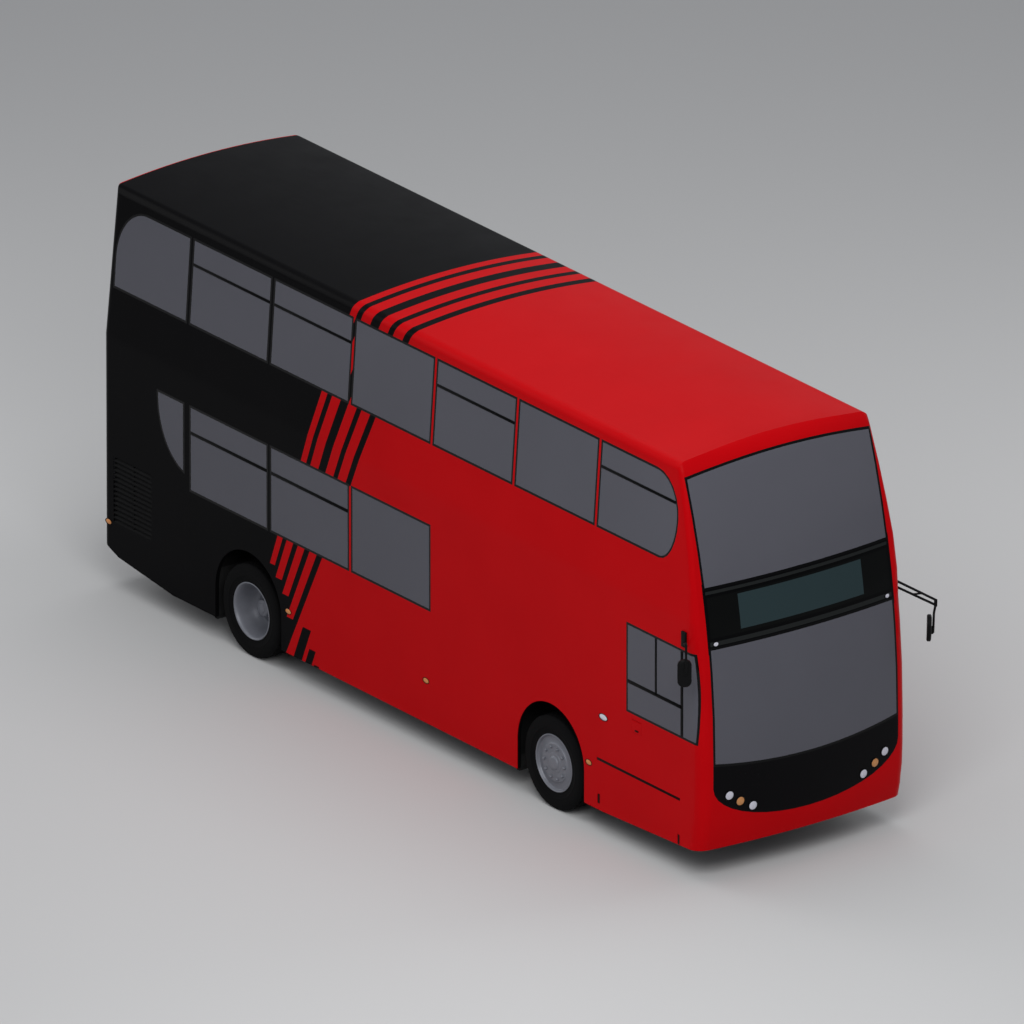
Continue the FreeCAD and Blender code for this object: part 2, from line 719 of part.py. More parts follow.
def staircase():
    """Straight flight that climbs rearwards over the offside wheel box."""
    plate = 30.0
    top = []
    for k in range(STEPS - 1):
        level = FLOOR_TOP + (k + 1) * rise()
        top.append((STAIR_START - k * TREAD, level - rise()))
        top.append((STAIR_START - k * TREAD, level))
    top.append((stair_end() + 6.0, FLOOR_TOP + (STEPS - 1) * rise()))
    under = [(stair_end() + 6.0, FLOOR_TOP + (STEPS - 1) * rise() - rise())]
    under.append((STAIR_START - plate - TREAD, FLOOR_TOP))
    flight = side_prism(top + under, STAIR_OUT, STAIR_IN)
    guard_points = [(stair_end() + 6.0, UPPER_FLOOR_TOP - UPPER_FLOOR - 5.0), (stair_end() + 6.0, 1500.0),
                    (STAIR_START - 400.0, FLOOR_TOP + 900.0 - 480.0), (STAIR_START - 400.0, FLOOR_TOP + 1500.0)]
    guard = side_prism(guard_points, STAIR_IN, STAIR_IN + plate)
    clear = box(0.0, -HALF_WIDTH, -BOX_HALF - 1.0, BOX_HALF + 1.0, 0.0, BOX_TOP + 0.5)
    return fuse([flight, guard]).cut(clear)


def seat(x, station, floor_z, width):
    """A double seat facing forwards: cushion, raked back and one pedestal."""
    rake = 150.0
    under = CUSHION_TOP - 100.0
    front = station + CUSHION_DEPTH
    top = floor_z + SEAT_BACK
    profile = [(front, floor_z + CUSHION_TOP - 10.0), (front, floor_z + under),
               (station - 10.0, floor_z + under - 20.0), (station - 60.0, floor_z + under + 50.0),
               (station - rake, top), (station - rake + 48.0, top), (station + 30.0, floor_z + CUSHION_TOP)]
    shell = side_prism(profile, x - width / 2.0, x + width / 2.0)
    leg = box(x - 50.0, x + 50.0, station + 80.0, station + 330.0, floor_z, floor_z + under)
    return fuse([shell, leg])


def upper_seats():
    """Rows of pairs on both sides of the gangway, with the stairwell left free."""
    seats = []
    for row in range(UPPER_ROWS):
        station = UPPER_FIRST_ROW - row * SEAT_PITCH
        for side in (-1, 1):
            clear_of_well = station - 150.0 > WELL_FRONT + 60.0 or station + CUSHION_DEPTH < stair_end() - 60.0
            if side < 0 and not clear_of_well:
                continue
            seats.append(seat(side * SEAT_X, station, UPPER_FLOOR_TOP, SEAT_WIDTH))
    return Part.makeCompound(seats)


def lower_seats():
    """Pairs along the gangway, on the rear platform and on the engine deck."""
    seats = []
    for row in range(LOWER_ROWS):
        station = LOWER_FIRST_ROW - row * SEAT_PITCH
        for side in (-1, 1):
            seats.append(seat(side * SEAT_X, station, FLOOR_TOP, SEAT_WIDTH))
    return Part.makeCompound(seats)


def chassis_frame():
    """A low ladder frame, the raised ladder behind it over the rear axle, and two front spring towers."""
    high = PLATFORM_TOP - FLOOR
    high_low = high - RAIL_HIGH_H
    low_top = FLOOR_TOP - FLOOR
    notch = low_top - 45.0
    kick = PLATFORM_START - FLOOR
    low_line = [(RAIL_FRONT, low_top), (RAIL_FRONT, RAIL_LOW + 30.0), (RAIL_FRONT - 150.0, RAIL_LOW),
                (420.0, RAIL_LOW),
                (380.0, notch), (-420.0, notch), (-460.0, RAIL_LOW), (kick, RAIL_LOW), (kick, low_top)]
    high_line = [(kick, RAIL_LOW), (kick - 50.0, RAIL_LOW), (kick - 220.0, high_low), (RAIL_END, high_low),
                 (RAIL_END, high), (kick, high)]
    low, raised, towers = [], [], []
    for side in (-1, 1):
        inner, outer = side * (RAIL_X - RAIL_W / 2.0), side * (RAIL_X + RAIL_W / 2.0)
        low.append(side_prism(low_line, inner, outer))
        raised.append(side_prism(high_line, inner, outer))
        legs = [box(outer, outer + side * 50.0, s, s + 20.0, notch, TOWER_TOP)
                for s in (-SPRING_R - 35.0, SPRING_R + 15.0)]
        plate = box(outer, side * (SPRING_X + SPRING_R), -SPRING_R - 35.0, SPRING_R + 35.0,
                    TOWER_TOP - TOWER_PLATE, TOWER_TOP)
        towers.append(fuse(legs + [plate]))
    for s in CROSS_LOW:
        low.append(box(-HALF_WIDTH + WALL, HALF_WIDTH - WALL, s, s + CROSS, low_top - 50.0, low_top))
    for s in CROSS_HIGH:
        raised.append(box(-RAIL_X, RAIL_X, s, s + CROSS, high - 80.0, high))
    low.append(box(-70.0, 70.0, CROSS_LOW[0], TOW_STATION + 55.0, TOW_LOW, TOW_LOW + TOW_PLATE))
    bore = rod((0.0, TOW_STATION, TOW_LOW - 1.0), (0.0, TOW_STATION, TOW_LOW + TOW_PLATE + 1.0), TOW_R)
    return Part.makeCompound([fuse(low).cut(bore), fuse(raised)] + towers)


def front_axle_beam():
    """Dropped beam with an eye at each end for the kingpin, and an air spring near each end."""
    outline = [(-520.0, BEAM_LOW), (520.0, BEAM_LOW), (760.0, 400.0), (KINGPIN_X - 10.0, TYRE_R - 45.0),
               (KINGPIN_X - 10.0, TYRE_R + 45.0), (720.0, TYRE_R + 10.0), (480.0, BEAM_HIGH),
               (-480.0, BEAM_HIGH), (-720.0, TYRE_R + 10.0), (-KINGPIN_X + 10.0, TYRE_R + 45.0),
               (-KINGPIN_X + 10.0, TYRE_R - 45.0), (-760.0, 400.0)]
    spots = [V(x, y_at(-50.0), z) for x, z in outline]
    beam = Part.Face(Part.makePolygon(spots + spots[:1])).extrude(V(0, -100.0, 0))
    shapes, holes = [beam], []
    for side in (-1, 1):
        x = side * KINGPIN_X
        shapes.append(rod((x, 0, TYRE_R - EYE_HALF), (x, 0, TYRE_R + EYE_HALF), EYE_R))
        holes.append(rod((x, 0, TYRE_R - EYE_HALF - 1.0), (x, 0, TYRE_R + EYE_HALF + 1.0), KINGPIN_R + FIT))
        spring_x = side * SPRING_X
        spring_top = TOWER_TOP - TOWER_PLATE - SEATED
        shapes.append(rod((spring_x, 0, BEAM_HIGH - 20.0), (spring_x, 0, spring_top), SPRING_R))
    return fuse(shapes).cut(holes)


def rear_axle_housing():
    """Beam with an off-centre final drive, a stub for each hub, propeller shaft and four air springs."""
    z = TYRE_R
    tube_r = AXLE_TUBE_R
    outline = [(0.0, -STUB_END), (STUB_R, -STUB_END), (STUB_R, -STUB_START), (tube_r, -STUB_START),
               (tube_r, DRIVE_X - 260.0), (DRIVE_R, DRIVE_X - 90.0), (DRIVE_R, DRIVE_X + 60.0),
               (tube_r, DRIVE_X + 230.0), (tube_r, STUB_START), (STUB_R, STUB_START), (STUB_R, STUB_END),
               (0.0, STUB_END)]
    spots = [V(x, y_at(REAR_AXLE), z + r) for r, x in outline]
    face = Part.Face(Part.makePolygon(spots + spots[:1]))
    shapes = [face.revolve(V(0, y_at(REAR_AXLE), z), V(1, 0, 0), 360.0)]
    nose_s = REAR_AXLE - 330.0
    shaft_x = DRIVE_X - 10.0
    shapes.append(rod((shaft_x, REAR_AXLE, z), (shaft_x, nose_s, z), 70.0))
    shapes.append(rod((shaft_x, nose_s + 20.0, z), (shaft_x, ENGINE_FRONT + SEATED, z), PROP_R))
    for side in (-1, 1):
        x = side * RAIL_X
        shapes.append(box(x - 50.0, x + 50.0, REAR_AXLE - REAR_SPRING - 90.0, REAR_AXLE + REAR_SPRING + 90.0,
                          z - 90.0, z - 50.0))
        for s in (REAR_AXLE - REAR_SPRING, REAR_AXLE + REAR_SPRING):
            shapes.append(rod((x, s, z - 51.0), (x, s, PLATFORM_TOP - FLOOR - RAIL_HIGH_H - SEATED), 95.0))
    return fuse(shapes)


def engine_block():
    """Engine with its gearbox, one block hung between the rear rails."""
    high = PLATFORM_TOP - FLOOR - RAIL_HIGH_H
    engine = box(-ENGINE_HALF, ENGINE_HALF, ENGINE_FRONT, ENGINE_REAR, ENGINE_LOW, ENGINE_HIGH)
    beam = CROSS_HIGH[-1]
    gap = box(-RAIL_X, RAIL_X, beam - 2.0, beam + CROSS + 2.0, high, high + 112.0)
    feet = [box(side * (RAIL_X - 70.0), side * (RAIL_X + 20.0), s, s + 90.0, high - 40.0, high - SEATED)
            for side in (-1, 1) for s in (-6400.0, -7000.0)]
    return fuse([engine] + feet).cut(gap)


def knuckle():
    """Offside steering knuckle: fork and kingpin round the beam's eye, spindle, hub and steering arm."""
    x = -KINGPIN_X
    z = TYRE_R
    top = z + EYE_HALF + FORK_GAP
    low = z - EYE_HALF - FORK_GAP
    web_in = x - EYE_R - 10.0
    web_out = web_in - 40.0
    shapes = [
        rod((x, 0, low - FORK), (x, 0, top + FORK), KINGPIN_R),
        rod((x, 0, top), (x, 0, top + FORK), EYE_R),
        rod((x, 0, low), (x, 0, low - FORK), EYE_R),
        box(x, web_out, -EYE_R, EYE_R, top, top + FORK),
        box(x, web_out, -EYE_R, EYE_R, low - FORK, low),
        box(web_in, web_out, -60.0, 60.0, low - FORK, top + FORK),
        rod((web_out, 0, z), (-SPINDLE_END, 0, z), SPINDLE_R),
        box(x - 22.0, x + 22.0, -STEER_ARM, 0.0, low - FORK, low - FORK + 30.0),
        rod((x, -STEER_ARM, low - FORK), (x, -STEER_ARM, low - FORK + 30.0), 24.0),
        rod((x, -STEER_ARM, ROD_Z - ROD_R - 12.0), (x, -STEER_ARM, low - FORK), PIN_R),
    ]
    return fuse(shapes)


def tie_rod():
    """Track rod between the two steering arms, an eye at each end; the nearside eye has more room."""
    x = KINGPIN_X
    low, high = ROD_Z - ROD_R, ROD_Z + ROD_R
    shapes = [rod((-x, -STEER_ARM, ROD_Z), (x, -STEER_ARM, ROD_Z), ROD_R)]
    holes = []
    for side, slack in ((-1, FIT), (1, 0.8)):
        shapes.append(rod((side * x, -STEER_ARM, low), (side * x, -STEER_ARM, high), 26.0))
        holes.append(rod((side * x, -STEER_ARM, low - 1.0), (side * x, -STEER_ARM, high + 1.0), PIN_R + slack))
    return fuse(shapes).cut(holes)


def ring(profile, centre, along, around, count):
    """A closed ring of flat facets: (radius, offset) points turned about an axis in even steps.
    A radius is measured to the middle of a facet, and one facet faces along `around`."""
    axis = V(along).normalize()
    first = V(around).normalize()
    second = axis.cross(first)
    step = 2.0 * math.pi / count
    hoops = []
    for radius, offset in profile:
        reach = radius / math.cos(step / 2.0)
        spots = []
        for k in range(count):
            a = step * (k + 0.5)
            spots.append(centre + axis * offset + (first * math.cos(a) + second * math.sin(a)) * reach)
        hoops.append(spots)
    faces = []
    for near, far in zip(hoops, hoops[1:] + hoops[:1]):
        for k in range(count):
            after = (k + 1) % count
            corners = [near[k], near[after], far[after], far[k]]
            faces.append(Part.Face(Part.makePolygon(corners + corners[:1])))
    return Part.makeSolid(Part.makeShell(faces))


def wheel_ring(profile, x_mid, station, side):
    """A faceted ring about a wheel's axis, its offsets counted outwards from the wheel's middle."""
    return ring(profile, V(side * x_mid, y_at(station), TYRE_R), V(side, 0, 0), V(0, 0, 1), WHEEL_STEPS)


def tyre(x_mid, station, side, inner=False):
    half = TYRE_W / 2.0
    if inner:
        profile = [(RIM_R, -half), (TYRE_R, -half), (TYRE_R, half), (RIM_R, half)]
    else:
        profile = [(RIM_R, -half + 16.0), (SIDEWALL_R, -half), (TYRE_R, -TREAD_HALF), (TYRE_R, TREAD_HALF),
                   (SIDEWALL_R, half), (RIM_R, half - 16.0)]
    return wheel_ring(profile, x_mid, station, side)


def hub(x_mid, station, side, near, far, nose_r, bore_r, bore_end):
    """A round hub between two offsets with a bevelled nose and a blind bore for its shaft."""
    start = V(side * (x_mid + near), y_at(station), TYRE_R)
    along = V(side, 0, 0)
    bevel = HUB_R - nose_r
    barrel = Part.makeCylinder(HUB_R, far - near - bevel, start, along)
    cone = Part.makeCone(HUB_R, nose_r, bevel, start + along * (far - near - bevel), along)
    bore = Part.makeCylinder(bore_r, bore_end - near + 1.0, start - along, along)
    return [barrel, cone], bore


def front_rim(side):
    """Rim with a disc that bulges outwards round the hub."""
    half = TYRE_W / 2.0
    mid = WHEEL_FACE - half
    flange = half - 16.0
    root = HUB_R - 5.0
    profile = [(RIM_R, -flange), (RIM_R, flange), (RIM_R - 14.0, flange + 4.0), (272.0, flange - 26.0),
               (205.0, flange - 8.0), (185.0, flange - 30.0), (root, flange - 6.0), (root, 20.0),
               (180.0, 60.0), (284.0, -flange)]
    solids, bore = hub(mid, 0.0, side, 20.0, half - 2.0, HUB_R - 20.0, SPINDLE_R + FIT, SPINDLE_END - mid + 1.0)
    return fuse([wheel_ring(profile, mid, 0.0, side)] + solids).cut(bore)


def rear_rims(side):
    """Twin rims back to back on one hub, the outer one deeply dished."""
    half = TYRE_W / 2.0
    mid = WHEEL_FACE - half
    flange = half - 16.0
    inner_mid = -(TYRE_W + TWIN_GAP)
    plate = inner_mid / 2.0
    root = HUB_R - 5.0
    profile = [(RIM_R, inner_mid - flange), (RIM_R, flange), (RIM_R - 14.0, flange + 4.0),
               (276.0, flange - 20.0), (262.0, plate + 60.0), (185.0, plate + 22.0),
               (root, plate + 40.0), (root, plate - 40.0),
               (276.0, plate - 24.0), (284.0, inner_mid - flange)]
    bore_end = STUB_END - mid + 1.0
    solids, bore = hub(mid, REAR_AXLE, side, plate - 60.0, plate + 160.0, HUB_R - 20.0, STUB_R + FIT, bore_end)
    return fuse([wheel_ring(profile, mid, REAR_AXLE, side)] + solids).cut(bore)


def rear_tyres(side):
    mid = WHEEL_FACE - TYRE_W / 2.0
    return Part.makeCompound([tyre(mid, REAR_AXLE, side), tyre(mid - TYRE_W - TWIN_GAP, REAR_AXLE, side, True)])


def door_leaf(front):
    """One leaf of the entrance: a frame with a round-cornered light, on its own upright shaft."""
    width = (DOOR_FRONT - DOOR_REAR) / 2.0 - DOOR_GAP - MEETING_GAP / 2.0
    start = DOOR_FRONT - DOOR_GAP - width if front else DOOR_REAR + DOOR_GAP
    outer = HALF_WIDTH
    high = DOOR_HEAD - 2.0 * DOOR_GAP
    leaf = box(outer - LEAF, outer, start, start + width, DOOR_SILL, high)
    light = box(outer - LEAF - 1.0, outer + 1.0, start + LEAF_FRAME, start + width - LEAF_FRAME,
                DOOR_SILL + 2.0 * LEAF_FRAME, high - LEAF_FRAME)
    lap = FRIT - 10.0
    rebate = box(outer - GLASS, outer, start + LEAF_FRAME - lap, start + width - LEAF_FRAME + lap,
                 DOOR_SILL + 2.0 * LEAF_FRAME - lap, high - LEAF_FRAME + lap)
    axis = shaft_station(front)
    shaft_x = outer - LEAF - SHAFT_R - 2.0
    shaft = rod((shaft_x, axis, FLOOR_TOP + SEATED), (shaft_x, axis, DOOR_HEAD - SEATED), SHAFT_R)
    brackets = [box(shaft_x, outer - LEAF + 1.0, axis - 14.0, axis + 14.0, z, z + 60.0)
                for z in (DOOR_SILL + 20.0, 1300.0, high - 80.0)]
    frame = fuse([leaf.cut([light, rebate]), shaft] + brackets)
    return frame, rebate


def shaft_station(front):
    inset = DOOR_GAP + 29.0
    return DOOR_FRONT - inset if front else DOOR_REAR + inset


def cover_axis():
    """Y and Z of the engine cover's hinge."""
    return y_at(TAIL) - 12.0, COVER_HIGH + 4.0


def cover_rod(grow):
    y, z = cover_axis()
    half = COVER_HALF - DOOR_GAP
    length = half + COVER_ENDS
    return Part.makeCylinder(COVER_ROD + grow, 2.0 * length, V(-length, y, z), V(1, 0, 0))


def cover_parts(cover, rear):
    """Give the cover its hinge rod and webs, and the rear panel the recess and bores that hold it."""
    y, z = cover_axis()
    low_y = y - COVER_ROD - 1.0
    recess = Part.makeBox(2.0 * COVER_HALF, 200.0, 22.0, V(-COVER_HALF, low_y, COVER_HIGH - 1.0))
    webs = [Part.makeBox(80.0, 12.0, 14.0, V(x - 40.0, y - 6.0, COVER_HIGH - DOOR_GAP - 4.0))
            for x in (-700.0, 0.0, 700.0)]
    cover = fuse([cover, cover_rod(0.0)] + webs)
    return cover, rear.cut([recess, cover_rod(FIT)])


def flap_rod(grow):
    x = -HALF_WIDTH + 7.0
    z = FLAP_HIGH + 5.0
    return rod((x, FLAP_REAR - 10.0, z), (x, FLAP_FRONT + 10.0, z), FLAP_ROD + grow)


def flap_parts(wall):
    """The access flap with its hinge rod, and the wall with the recess and bores for it."""
    plate = box(-HALF_WIDTH, -HALF_WIDTH + FLAP, FLAP_REAR, FLAP_FRONT, FLAP_LOW, FLAP_HIGH)
    web = box(-HALF_WIDTH + 3.0, -HALF_WIDTH + 11.0, FLAP_REAR, FLAP_FRONT, FLAP_HIGH - 1.0, FLAP_HIGH + 5.0)
    recess = box(-HALF_WIDTH - 5.0, -HALF_WIDTH + WALL - 5.0, FLAP_REAR - 2.0, FLAP_FRONT + 2.0,
                 FLAP_LOW - 2.0, FLAP_HIGH + 16.0)
    return fuse([plate, web, flap_rod(0.0)]), wall.cut([recess, flap_rod(FIT)] + side_grooves())


def side_grooves():
    """A long groove under the driver's window and a short upright one at each of its ends."""
    out, deep = -HALF_WIDTH - 5.0, -HALF_WIDTH + GROOVE
    long = box(out, deep, SLOT_REAR, SLOT_FRONT, SLOT_Z - SLOT_H / 2.0, SLOT_Z + SLOT_H / 2.0)
    short = [box(out, deep, s - 9.0, s + 9.0, SKIRT_FRONT, SKIRT_FRONT + 100.0)
             for s in (SLOT_REAR + 20.0, SLOT_FRONT - 33.0)]
    return [long] + short


def rounded_block(width, height, depth, radius):
    """A block with rounded corners seen along its depth, centred on the origin, depth along Y."""
    w, h, r = width / 2.0, height / 2.0, radius
    d = r * (1.0 - math.sqrt(0.5))
    corners = [(w, h - r), (w - d, h - d), (w - r, h), (-w + r, h), (-w + d, h - d), (-w, h - r),
               (-w, -h + r), (-w + d, -h + d), (-w + r, -h), (w - r, -h), (w - d, -h + d), (w, -h + r)]
    edges = []
    for k in range(0, 12, 3):
        a, b, c = [V(x, -depth / 2.0, z) for x, z in corners[k:k + 3]]
        after = corners[(k + 3) % 12]
        edges.append(Part.Arc(a, b, c).toShape())
        edges.append(Part.makeLine(c, V(after[0], -depth / 2.0, after[1])))
    return Part.Face(Part.Wire(edges)).extrude(V(0, depth, 0))


def mirror_head(x, station, z, turn, width):
    head = rounded_block(width, MIRROR_H, MIRROR_D, width / 2.0 - 8.0)
    head.rotate(V(0, 0, 0), V(0, 0, 1), turn)
    head.translate(V(x, y_at(station), z))
    return head


def tube(points, radius):
    shapes = []
    for a, b in zip(points, points[1:]):
        shapes.append(rod(a, b, radius))
    for p in points[1:-1]:
        shapes.append(Part.makeSphere(radius, V(p[0], y_at(p[1]), p[2])))
    return shapes


def offside_mirror():
    """Head hung from a cranked arm above the cab window."""
    x = -MIRROR_X
    depth = 24.0
    wall = -HALF_WIDTH - SEATED - depth / 2.0
    base_s, base_z = 2155.0, 2540.0
    pts = [(wall, base_s, base_z), (x, 2475.0, 2650.0), (x, 2485.0, 2420.0)]
    foot = rounded_block(60.0, 165.0, depth, 26.0)
    foot.rotate(V(0, 0, 0), V(0, 0, 1), 90)
    foot.translate(V(wall, y_at(base_s), base_z))
    return fuse(tube(pts, 15.0) + [foot, mirror_head(x, 2485.0, 2320.0, -36.9, MIRROR_W)])


def nearside_mirror():
    """Head hung from a twin-tube arm at the front corner."""
    x = MIRROR_X
    start = nose(2560.0) - 215.0
    upper = [(HALF_WIDTH - 25.0, start, 2600.0), (x, 2630.0, 2440.0), (x, 2630.0, 2240.0)]
    lower = [(HALF_WIDTH - 25.0, start, 2540.0), (x, 2630.0, 2380.0)]
    foot = rounded_block(60.0, 160.0, 20.0, 28.0)
    foot.rotate(V(0, 0, 0), V(0, 0, 1), 60)
    foot.translate(V(HALF_WIDTH - 22.0, y_at(start), 2570.0))
    shapes = tube(upper, 12.0) + tube(lower, 12.0) + [mirror_head(x, 2610.0, 2130.0, 53.1, NEAR_MIRROR_W), foot]
    whole = fuse(shapes).cut(OUTER)
    return max(whole.Solids, key=lambda solid: solid.Volume)


def driver_seat():
    top = FLOOR_TOP + DRIVER_PLINTH
    plinth = box(DRIVER_X - 180.0, DRIVER_X + 180.0, CAB_BACK + 130.0, CAB_BACK + 430.0, FLOOR_TOP, top)
    return fuse([seat(DRIVER_X, CAB_BACK + 200.0, top, 480.0), plinth])


def dashboard():
    """Console under the windscreen with the steering column and wheel."""
    points = [(1990.0, FLOOR_TOP), (2000.0, CONSOLE_TOP - 70.0), (2180.0, CONSOLE_TOP), (NOSE, CONSOLE_TOP),
              (NOSE, FLOOR_TOP)]
    console = side_prism(points, -1200.0, CAB_SIDE).common(INNER)
    hub = V(DRIVER_X, y_at(1850.0), CONSOLE_TOP + 40.0)
    lean = V(0.0, 0.5, 0.866)
    base = hub + V(0.0, -220.0, -380.0)
    column = Part.makeCylinder(32.0, (hub - base).Length, base, hub - base)
    grip = 15.0
    turns = [k * math.pi / 3.0 for k in range(6)]
    section = [(STEERING_WHEEL_R + grip * math.cos(a), grip * math.sin(a)) for a in turns]
    across = V(1, 0, 0)
    rim = ring(section, hub, lean, across, 32)
    up = lean.cross(across)
    directions = (across, across * -1.0, up * -1.0, up)
    spokes = [Part.makeCylinder(11.0, STEERING_WHEEL_R - 3.0, hub, d) for d in directions]
    return fuse([console, column, rim] + spokes)


def cab_partition():
    """Wall behind the driver and the low fixed panel beside the console."""
    ceiling = UPPER_FLOOR_TOP - UPPER_FLOOR
    back = box(-HALF_WIDTH, CAB_SIDE + 15.0, CAB_BACK - 30.0, CAB_BACK, FLOOR_TOP, ceiling)
    side = box(CAB_SIDE + 2.0, CAB_SIDE + 32.0, CAB_LEAF_FRONT + 30.0, 2330.0, FLOOR_TOP, CAB_LEAF_HIGH)
    return fuse([back.common(INNER)]).multiFuse([side.common(INNER)])


def cab_door():
    """Half-height door on the gangway side of the cab, hinged at its front edge."""
    low = FLOOR_TOP + 20.0
    leaf = box(CAB_SIDE - 15.0, CAB_SIDE + 15.0, CAB_BACK + 10.0, CAB_LEAF_FRONT, low, CAB_LEAF_HIGH)
    shaft = rod((CAB_SIDE, CAB_LEAF_FRONT, FLOOR_TOP + SEATED), (CAB_SIDE, CAB_LEAF_FRONT, CAB_LEAF_HIGH), 15.0)
    return fuse([leaf, shaft])


def handrails():
    """Upright poles between the floors and a guard rail behind the upper windscreen."""
    x = SEAT_X - SEAT_WIDTH / 2.0 - POLE_R - SEATED
    poles = [rod((side * x, s, FLOOR_TOP), (side * x, s, UPPER_FLOOR_TOP - UPPER_FLOOR), POLE_R)
             for side in (-1, 1) for s in POLE_STATIONS]
    z = UPPER_SCREEN_SILL + 180.0
    s = GUARD_RAIL_STATION
    rail = rod((-HALF_WIDTH, s, z), (HALF_WIDTH, s, z), POLE_R).common(INNER)
    return Part.makeCompound(poles + [rail])


def marker(x_side, station, z, length, height):
    """A small oval lens laid on a side."""
    depth = 10.0
    block = rounded_block(length, height, depth, height / 2.0 - 1.0)
    block.rotate(V(0, 0, 0), V(0, 0, 1), 90)
    block.translate(V(x_side * (HALF_WIDTH + SEATED + depth / 2.0), y_at(station), z))
    return block


def side_markers(side):
    lenses = [marker(side, s, MARKER_Z, 100.0, 40.0) for s in MARKER_STATIONS]
    if side < 0:
        lenses.append(marker(side, SIDE_LAMP_STATION, SIDE_LAMP_Z, 140.0, 52.0))
    return lenses


def rear_lamps():
    """Three round lamps in a column at each rear corner, and two high ones."""
    lenses = []
    for side in (-1, 1):
        spots = [(z, REAR_LAMP_R) for z in REAR_LAMP_ROWS] + [(HIGH_REAR_LAMP_Z, HIGH_REAR_LAMP_R)]
        for z, radius in spots:
            start = V(side * REAR_LAMP_X, y_at(TAIL) - 200.0, z)
            lenses.append(Part.makeCylinder(radius, 400.0, start, V(0, 1, 0)))
    return [PROUD.common(bar) for bar in lenses]


def main():
    os.makedirs("parts", exist_ok=True)
    panels = body_panels()
    fronts = front_lamps()
    rears = rear_lamps()
    offs, nears = side_markers(-1), side_markers(1)
    for name in ("front_mask", "front_lower_panel", "front_upper_panel", "destination_glass"):
        panels[name] = panels[name].cut(fronts)
    panels["rear_panel"] = panels["rear_panel"].cut(rears)
    header = box(HALF_WIDTH - WALL - 60.0, HALF_WIDTH - WALL + 1.0, DOOR_REAR - 30.0, DOOR_FRONT + 30.0,
                 DOOR_HEAD, UPPER_FLOOR_TOP - UPPER_FLOOR)
    panels["nearside_wall"] = panels["nearside_wall"].fuse(header).removeSplitter()
    panels["engine_cover"], panels["rear_panel"] = cover_parts(panels["engine_cover"], panels["rear_panel"])
    panels["access_flap"], panels["offside_wall"] = flap_parts(panels["offside_wall"])
    for name, shape in panels.items():
        save(name, shape)
    save("engine_grille", engine_grille())
    save("front_lamps", Part.makeCompound(fronts))
    save("rear_lamps", Part.makeCompound(rears))
    save("side_lamps", Part.makeCompound(offs + nears))
    save("lower_floor", lower_floor())
    save("upper_floor", upper_floor())
    save("staircase", staircase())
    save("upper_seats", upper_seats())
    save("lower_seats", lower_seats())
    save("chassis_frame", chassis_frame())
    save("front_axle_beam", front_axle_beam())
    save("rear_axle_housing", rear_axle_housing())
    save("engine_block", engine_block())
    save("offside_knuckle", knuckle())
    save("nearside_knuckle", mirrored(knuckle()))
    save("tie_rod", tie_rod())
    for side, label in ((-1, "offside"), (1, "nearside")):
        mid = WHEEL_FACE - TYRE_W / 2.0
        save("front_" + label + "_rim", front_rim(side))
        save("front_" + label + "_tyre", tyre(mid, 0.0, side))
        save("rear_" + label + "_rim", rear_rims(side))
        save("rear_" + label + "_tyre", rear_tyres(side))
    for front, label in ((True, "front"), (False, "rear")):
        leaf, glass = door_leaf(front)
        save("door_" + label + "_leaf", leaf)
        save("door_" + label + "_glass", glass)
    save("offside_mirror", offside_mirror())
    save("nearside_mirror", nearside_mirror())
    save("driver_seat", driver_seat())
    save("dashboard", dashboard())
    save("cab_partition", cab_partition())
    save("cab_door", cab_door())
    save("handrails", handrails())


main()
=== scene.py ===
import json
import math

import bpy
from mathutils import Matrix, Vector


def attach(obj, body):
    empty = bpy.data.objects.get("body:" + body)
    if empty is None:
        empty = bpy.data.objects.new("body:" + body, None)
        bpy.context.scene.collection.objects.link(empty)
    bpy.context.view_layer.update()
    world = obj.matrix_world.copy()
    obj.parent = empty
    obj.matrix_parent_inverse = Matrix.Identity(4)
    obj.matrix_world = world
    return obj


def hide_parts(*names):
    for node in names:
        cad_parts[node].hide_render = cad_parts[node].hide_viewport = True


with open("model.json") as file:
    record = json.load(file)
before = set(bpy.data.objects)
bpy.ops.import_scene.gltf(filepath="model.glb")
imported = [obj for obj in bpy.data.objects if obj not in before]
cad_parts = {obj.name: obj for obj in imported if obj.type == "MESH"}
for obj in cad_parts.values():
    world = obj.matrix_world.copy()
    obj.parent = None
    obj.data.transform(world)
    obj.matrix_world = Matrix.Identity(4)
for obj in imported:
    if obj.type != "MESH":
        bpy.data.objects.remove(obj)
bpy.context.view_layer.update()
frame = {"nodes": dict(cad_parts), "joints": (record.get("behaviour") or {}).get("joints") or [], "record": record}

NODES = frame["nodes"]
RECORD = frame["record"]

# Places along the bus are stations: metres ahead of the front axle.
WHEEL_CENTRES = {joint["child"]: Vector(joint["pos_m"]) for joint in frame["joints"]
                 if joint["child"].endswith("_wheel")}
FRONT_AXLE_Y = WHEEL_CENTRES["front_offside_wheel"].y
REAR_AXLE_Y = WHEEL_CENTRES["rear_offside_wheel"].y
REAR_STATION = FRONT_AXLE_Y - REAR_AXLE_Y

# Side walls and their glass
HALF_WIDTH = 1.275
WAIST = 2.720
LEAN = math.radians(4.0)    # the sides lean inwards above the waist
POST_PITCH = 1.349
POST_HALF = 0.040
UPPER_POST = -6.060
LOWER_POST = -4.662
FIN_POST = -6.031
LOWER_SILL = 1.495
LOWER_HEAD = 2.375
FIN_POST_HALF = 0.066
CAB_SILL = 1.483
CAB_HEAD = 2.385
CAB_PANE_START = 1.263
DECK_SPLIT = 2.80           # between the two rows of windows
UPPER_HOPPER = (3.859, 3.891)
LOWER_HOPPER = (2.089, 2.125)
